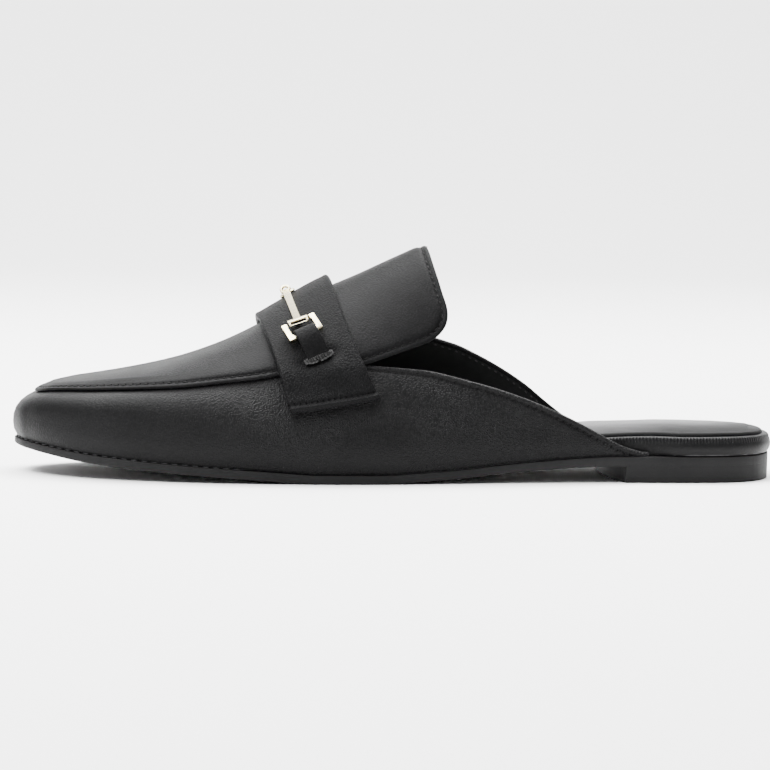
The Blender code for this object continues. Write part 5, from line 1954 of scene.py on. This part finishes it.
def make_stage(stage):
    make_floor(stage)
    world = bpy.data.worlds.new("studio")
    world.use_nodes = True
    background = world.node_tree.nodes["Background"]
    background.inputs["Color"].default_value = (1.0, 1.0, 1.0, 1.0)
    background.inputs["Strength"].default_value = stage.sky_light
    bpy.context.scene.world = world
    add_light("top_light", stage.key_light, (1.7, 1.0), (-0.10, 0.30, 1.15), SHOE_MIDDLE)
    add_light("front_light", stage.fill_light, (0.9, 0.7), (-0.95, -0.75, 1.70), SHOE_MIDDLE)
    add_light("back_light", stage.back_light, (3.0, 1.2), (0.0, 1.0, 2.2), SWEEP_MIDDLE)
    aim = Vector(stage.aim)
    yaw, pitch, roll = stage.camera_yaw, stage.camera_pitch, stage.camera_roll
    ahead = Vector((math.sin(yaw) * math.cos(pitch), math.cos(yaw) * math.cos(pitch), -math.sin(pitch)))
    right = ahead.cross(Vector((0, 0, 1))).normalized()
    up = right.cross(ahead)
    rolled_right = right * math.cos(roll) + up * math.sin(roll)
    rolled_up = up * math.cos(roll) - right * math.sin(roll)
    axes = Matrix((rolled_right, rolled_up, -ahead)).transposed().to_4x4()
    axes.translation = aim - ahead * stage.camera_distance
    data = bpy.data.cameras.new("photo_view")
    data.lens = stage.lens
    data.sensor_width = SENSOR_WIDTH
    data.clip_start, data.clip_end = 0.01, 50.0
    camera = bpy.data.objects.new("photo_view", data)
    camera.matrix_world = axes
    bpy.context.scene.collection.objects.link(camera)
    bpy.context.scene.camera = camera


class MULE_OT_finishes(bpy.types.Operator):
    """Mix the leather, lining, rubber, thread and metal"""

    bl_idname = "mule.finishes"
    bl_label = "Finishes"

    def execute(self, context):
        MADE["materials"] = make_materials(looks_of(context))
        return {"FINISHED"}


class MULE_OT_sole(bpy.types.Operator):
    """Make the outsole and the heel lift"""

    bl_idname = "mule.sole"
    bl_label = "Sole and heel"

    def execute(self, context):
        make_sole(MADE["materials"])
        return {"FINISHED"}


class MULE_OT_footbed(bpy.types.Operator):
    """Make the footbed and its sock lining"""

    bl_idname = "mule.footbed"
    bl_label = "Footbed and sock lining"

    def execute(self, context):
        make_footbed(MADE["materials"])
        return {"FINISHED"}


class MULE_OT_upper(bpy.types.Operator):
    """Make the vamp and quarters in one"""

    bl_idname = "mule.upper"
    bl_label = "Upper"

    def execute(self, context):
        MADE["upper"] = make_upper(looks_of(context), MADE["materials"])
        return {"FINISHED"}


class MULE_OT_apron(bpy.types.Operator):
    """Make the apron and tongue"""

    bl_idname = "mule.apron"
    bl_label = "Apron and tongue"

    def execute(self, context):
        MADE["apron"] = make_apron(looks_of(context), MADE["materials"])
        return {"FINISHED"}


class MULE_OT_strap(bpy.types.Operator):
    """Make the saddle strap"""

    bl_idname = "mule.strap"
    bl_label = "Saddle strap"

    def execute(self, context):
        MADE["strap"] = make_strap(looks_of(context), MADE["materials"])
        return {"FINISHED"}


class MULE_OT_bit(bpy.types.Operator):
    """Make both halves of the snaffle bit and their rings"""

    bl_idname = "mule.bit"
    bl_label = "Snaffle bit"

    def execute(self, context):
        make_bit(MADE["materials"])
        return {"FINISHED"}


class MULE_OT_tabs(bpy.types.Operator):
    """Make the leather tabs that hold the bit, with their bar tacks"""

    bl_idname = "mule.tabs"
    bl_label = "Tabs and bar tacks"

    def execute(self, context):
        make_tabs(MADE["materials"])
        return {"FINISHED"}


class MULE_OT_stitches(bpy.types.Operator):
    """Sew the rows of stitches"""

    bl_idname = "mule.stitches"
    bl_label = "Stitches"

    def execute(self, context):
        looks, materials = looks_of(context), MADE["materials"]
        sew_wings(looks, materials, MADE["upper"])
        sew_apron(looks, materials, MADE["apron"])
        sew_strap(looks, materials, MADE["strap"])
        sew_welt(looks, materials)
        return {"FINISHED"}


class MULE_OT_stage(bpy.types.Operator):
    """Set up the floor, the light and the camera"""

    bl_idname = "mule.stage"
    bl_label = "Stage"

    def execute(self, context):
        make_stage(context.scene.mule_stage)
        return {"FINISHED"}


STEPS = ("finishes", "sole", "footbed", "upper", "apron", "strap", "bit", "tabs", "stitches", "stage")


class MULE_PT_panel(bpy.types.Panel):
    """Sizes, colours and steps of the mule"""

    bl_idname = "MULE_PT_panel"
    bl_label = "Flat mule"
    bl_space_type = "VIEW_3D"
    bl_region_type = "UI"
    bl_category = "Mule"

    def draw(self, context):
        for settings in (looks_of(context), context.scene.mule_stage):
            box = self.layout.box()
            for name in settings.__annotations__:
                box.prop(settings, name)
        for step in STEPS:
            self.layout.operator(f"mule.{step}")


CLASSES = (
    MuleLooks, MuleStage, MULE_OT_finishes, MULE_OT_sole, MULE_OT_footbed, MULE_OT_upper,
    MULE_OT_apron, MULE_OT_strap, MULE_OT_bit, MULE_OT_tabs, MULE_OT_stitches, MULE_OT_stage,
    MULE_PT_panel,
)


def register():
    for cls in CLASSES:
        bpy.utils.register_class(cls)
    bpy.types.Scene.mule_looks = PointerProperty(type=MuleLooks)
    bpy.types.Scene.mule_stage = PointerProperty(type=MuleStage)


def unregister():
    del bpy.types.Scene.mule_stage
    del bpy.types.Scene.mule_looks
    for cls in reversed(CLASSES):
        bpy.utils.unregister_class(cls)


def main():
    register()
    for step in STEPS:
        getattr(bpy.ops.mule, step)()


if __name__ == "__main__":
    main()
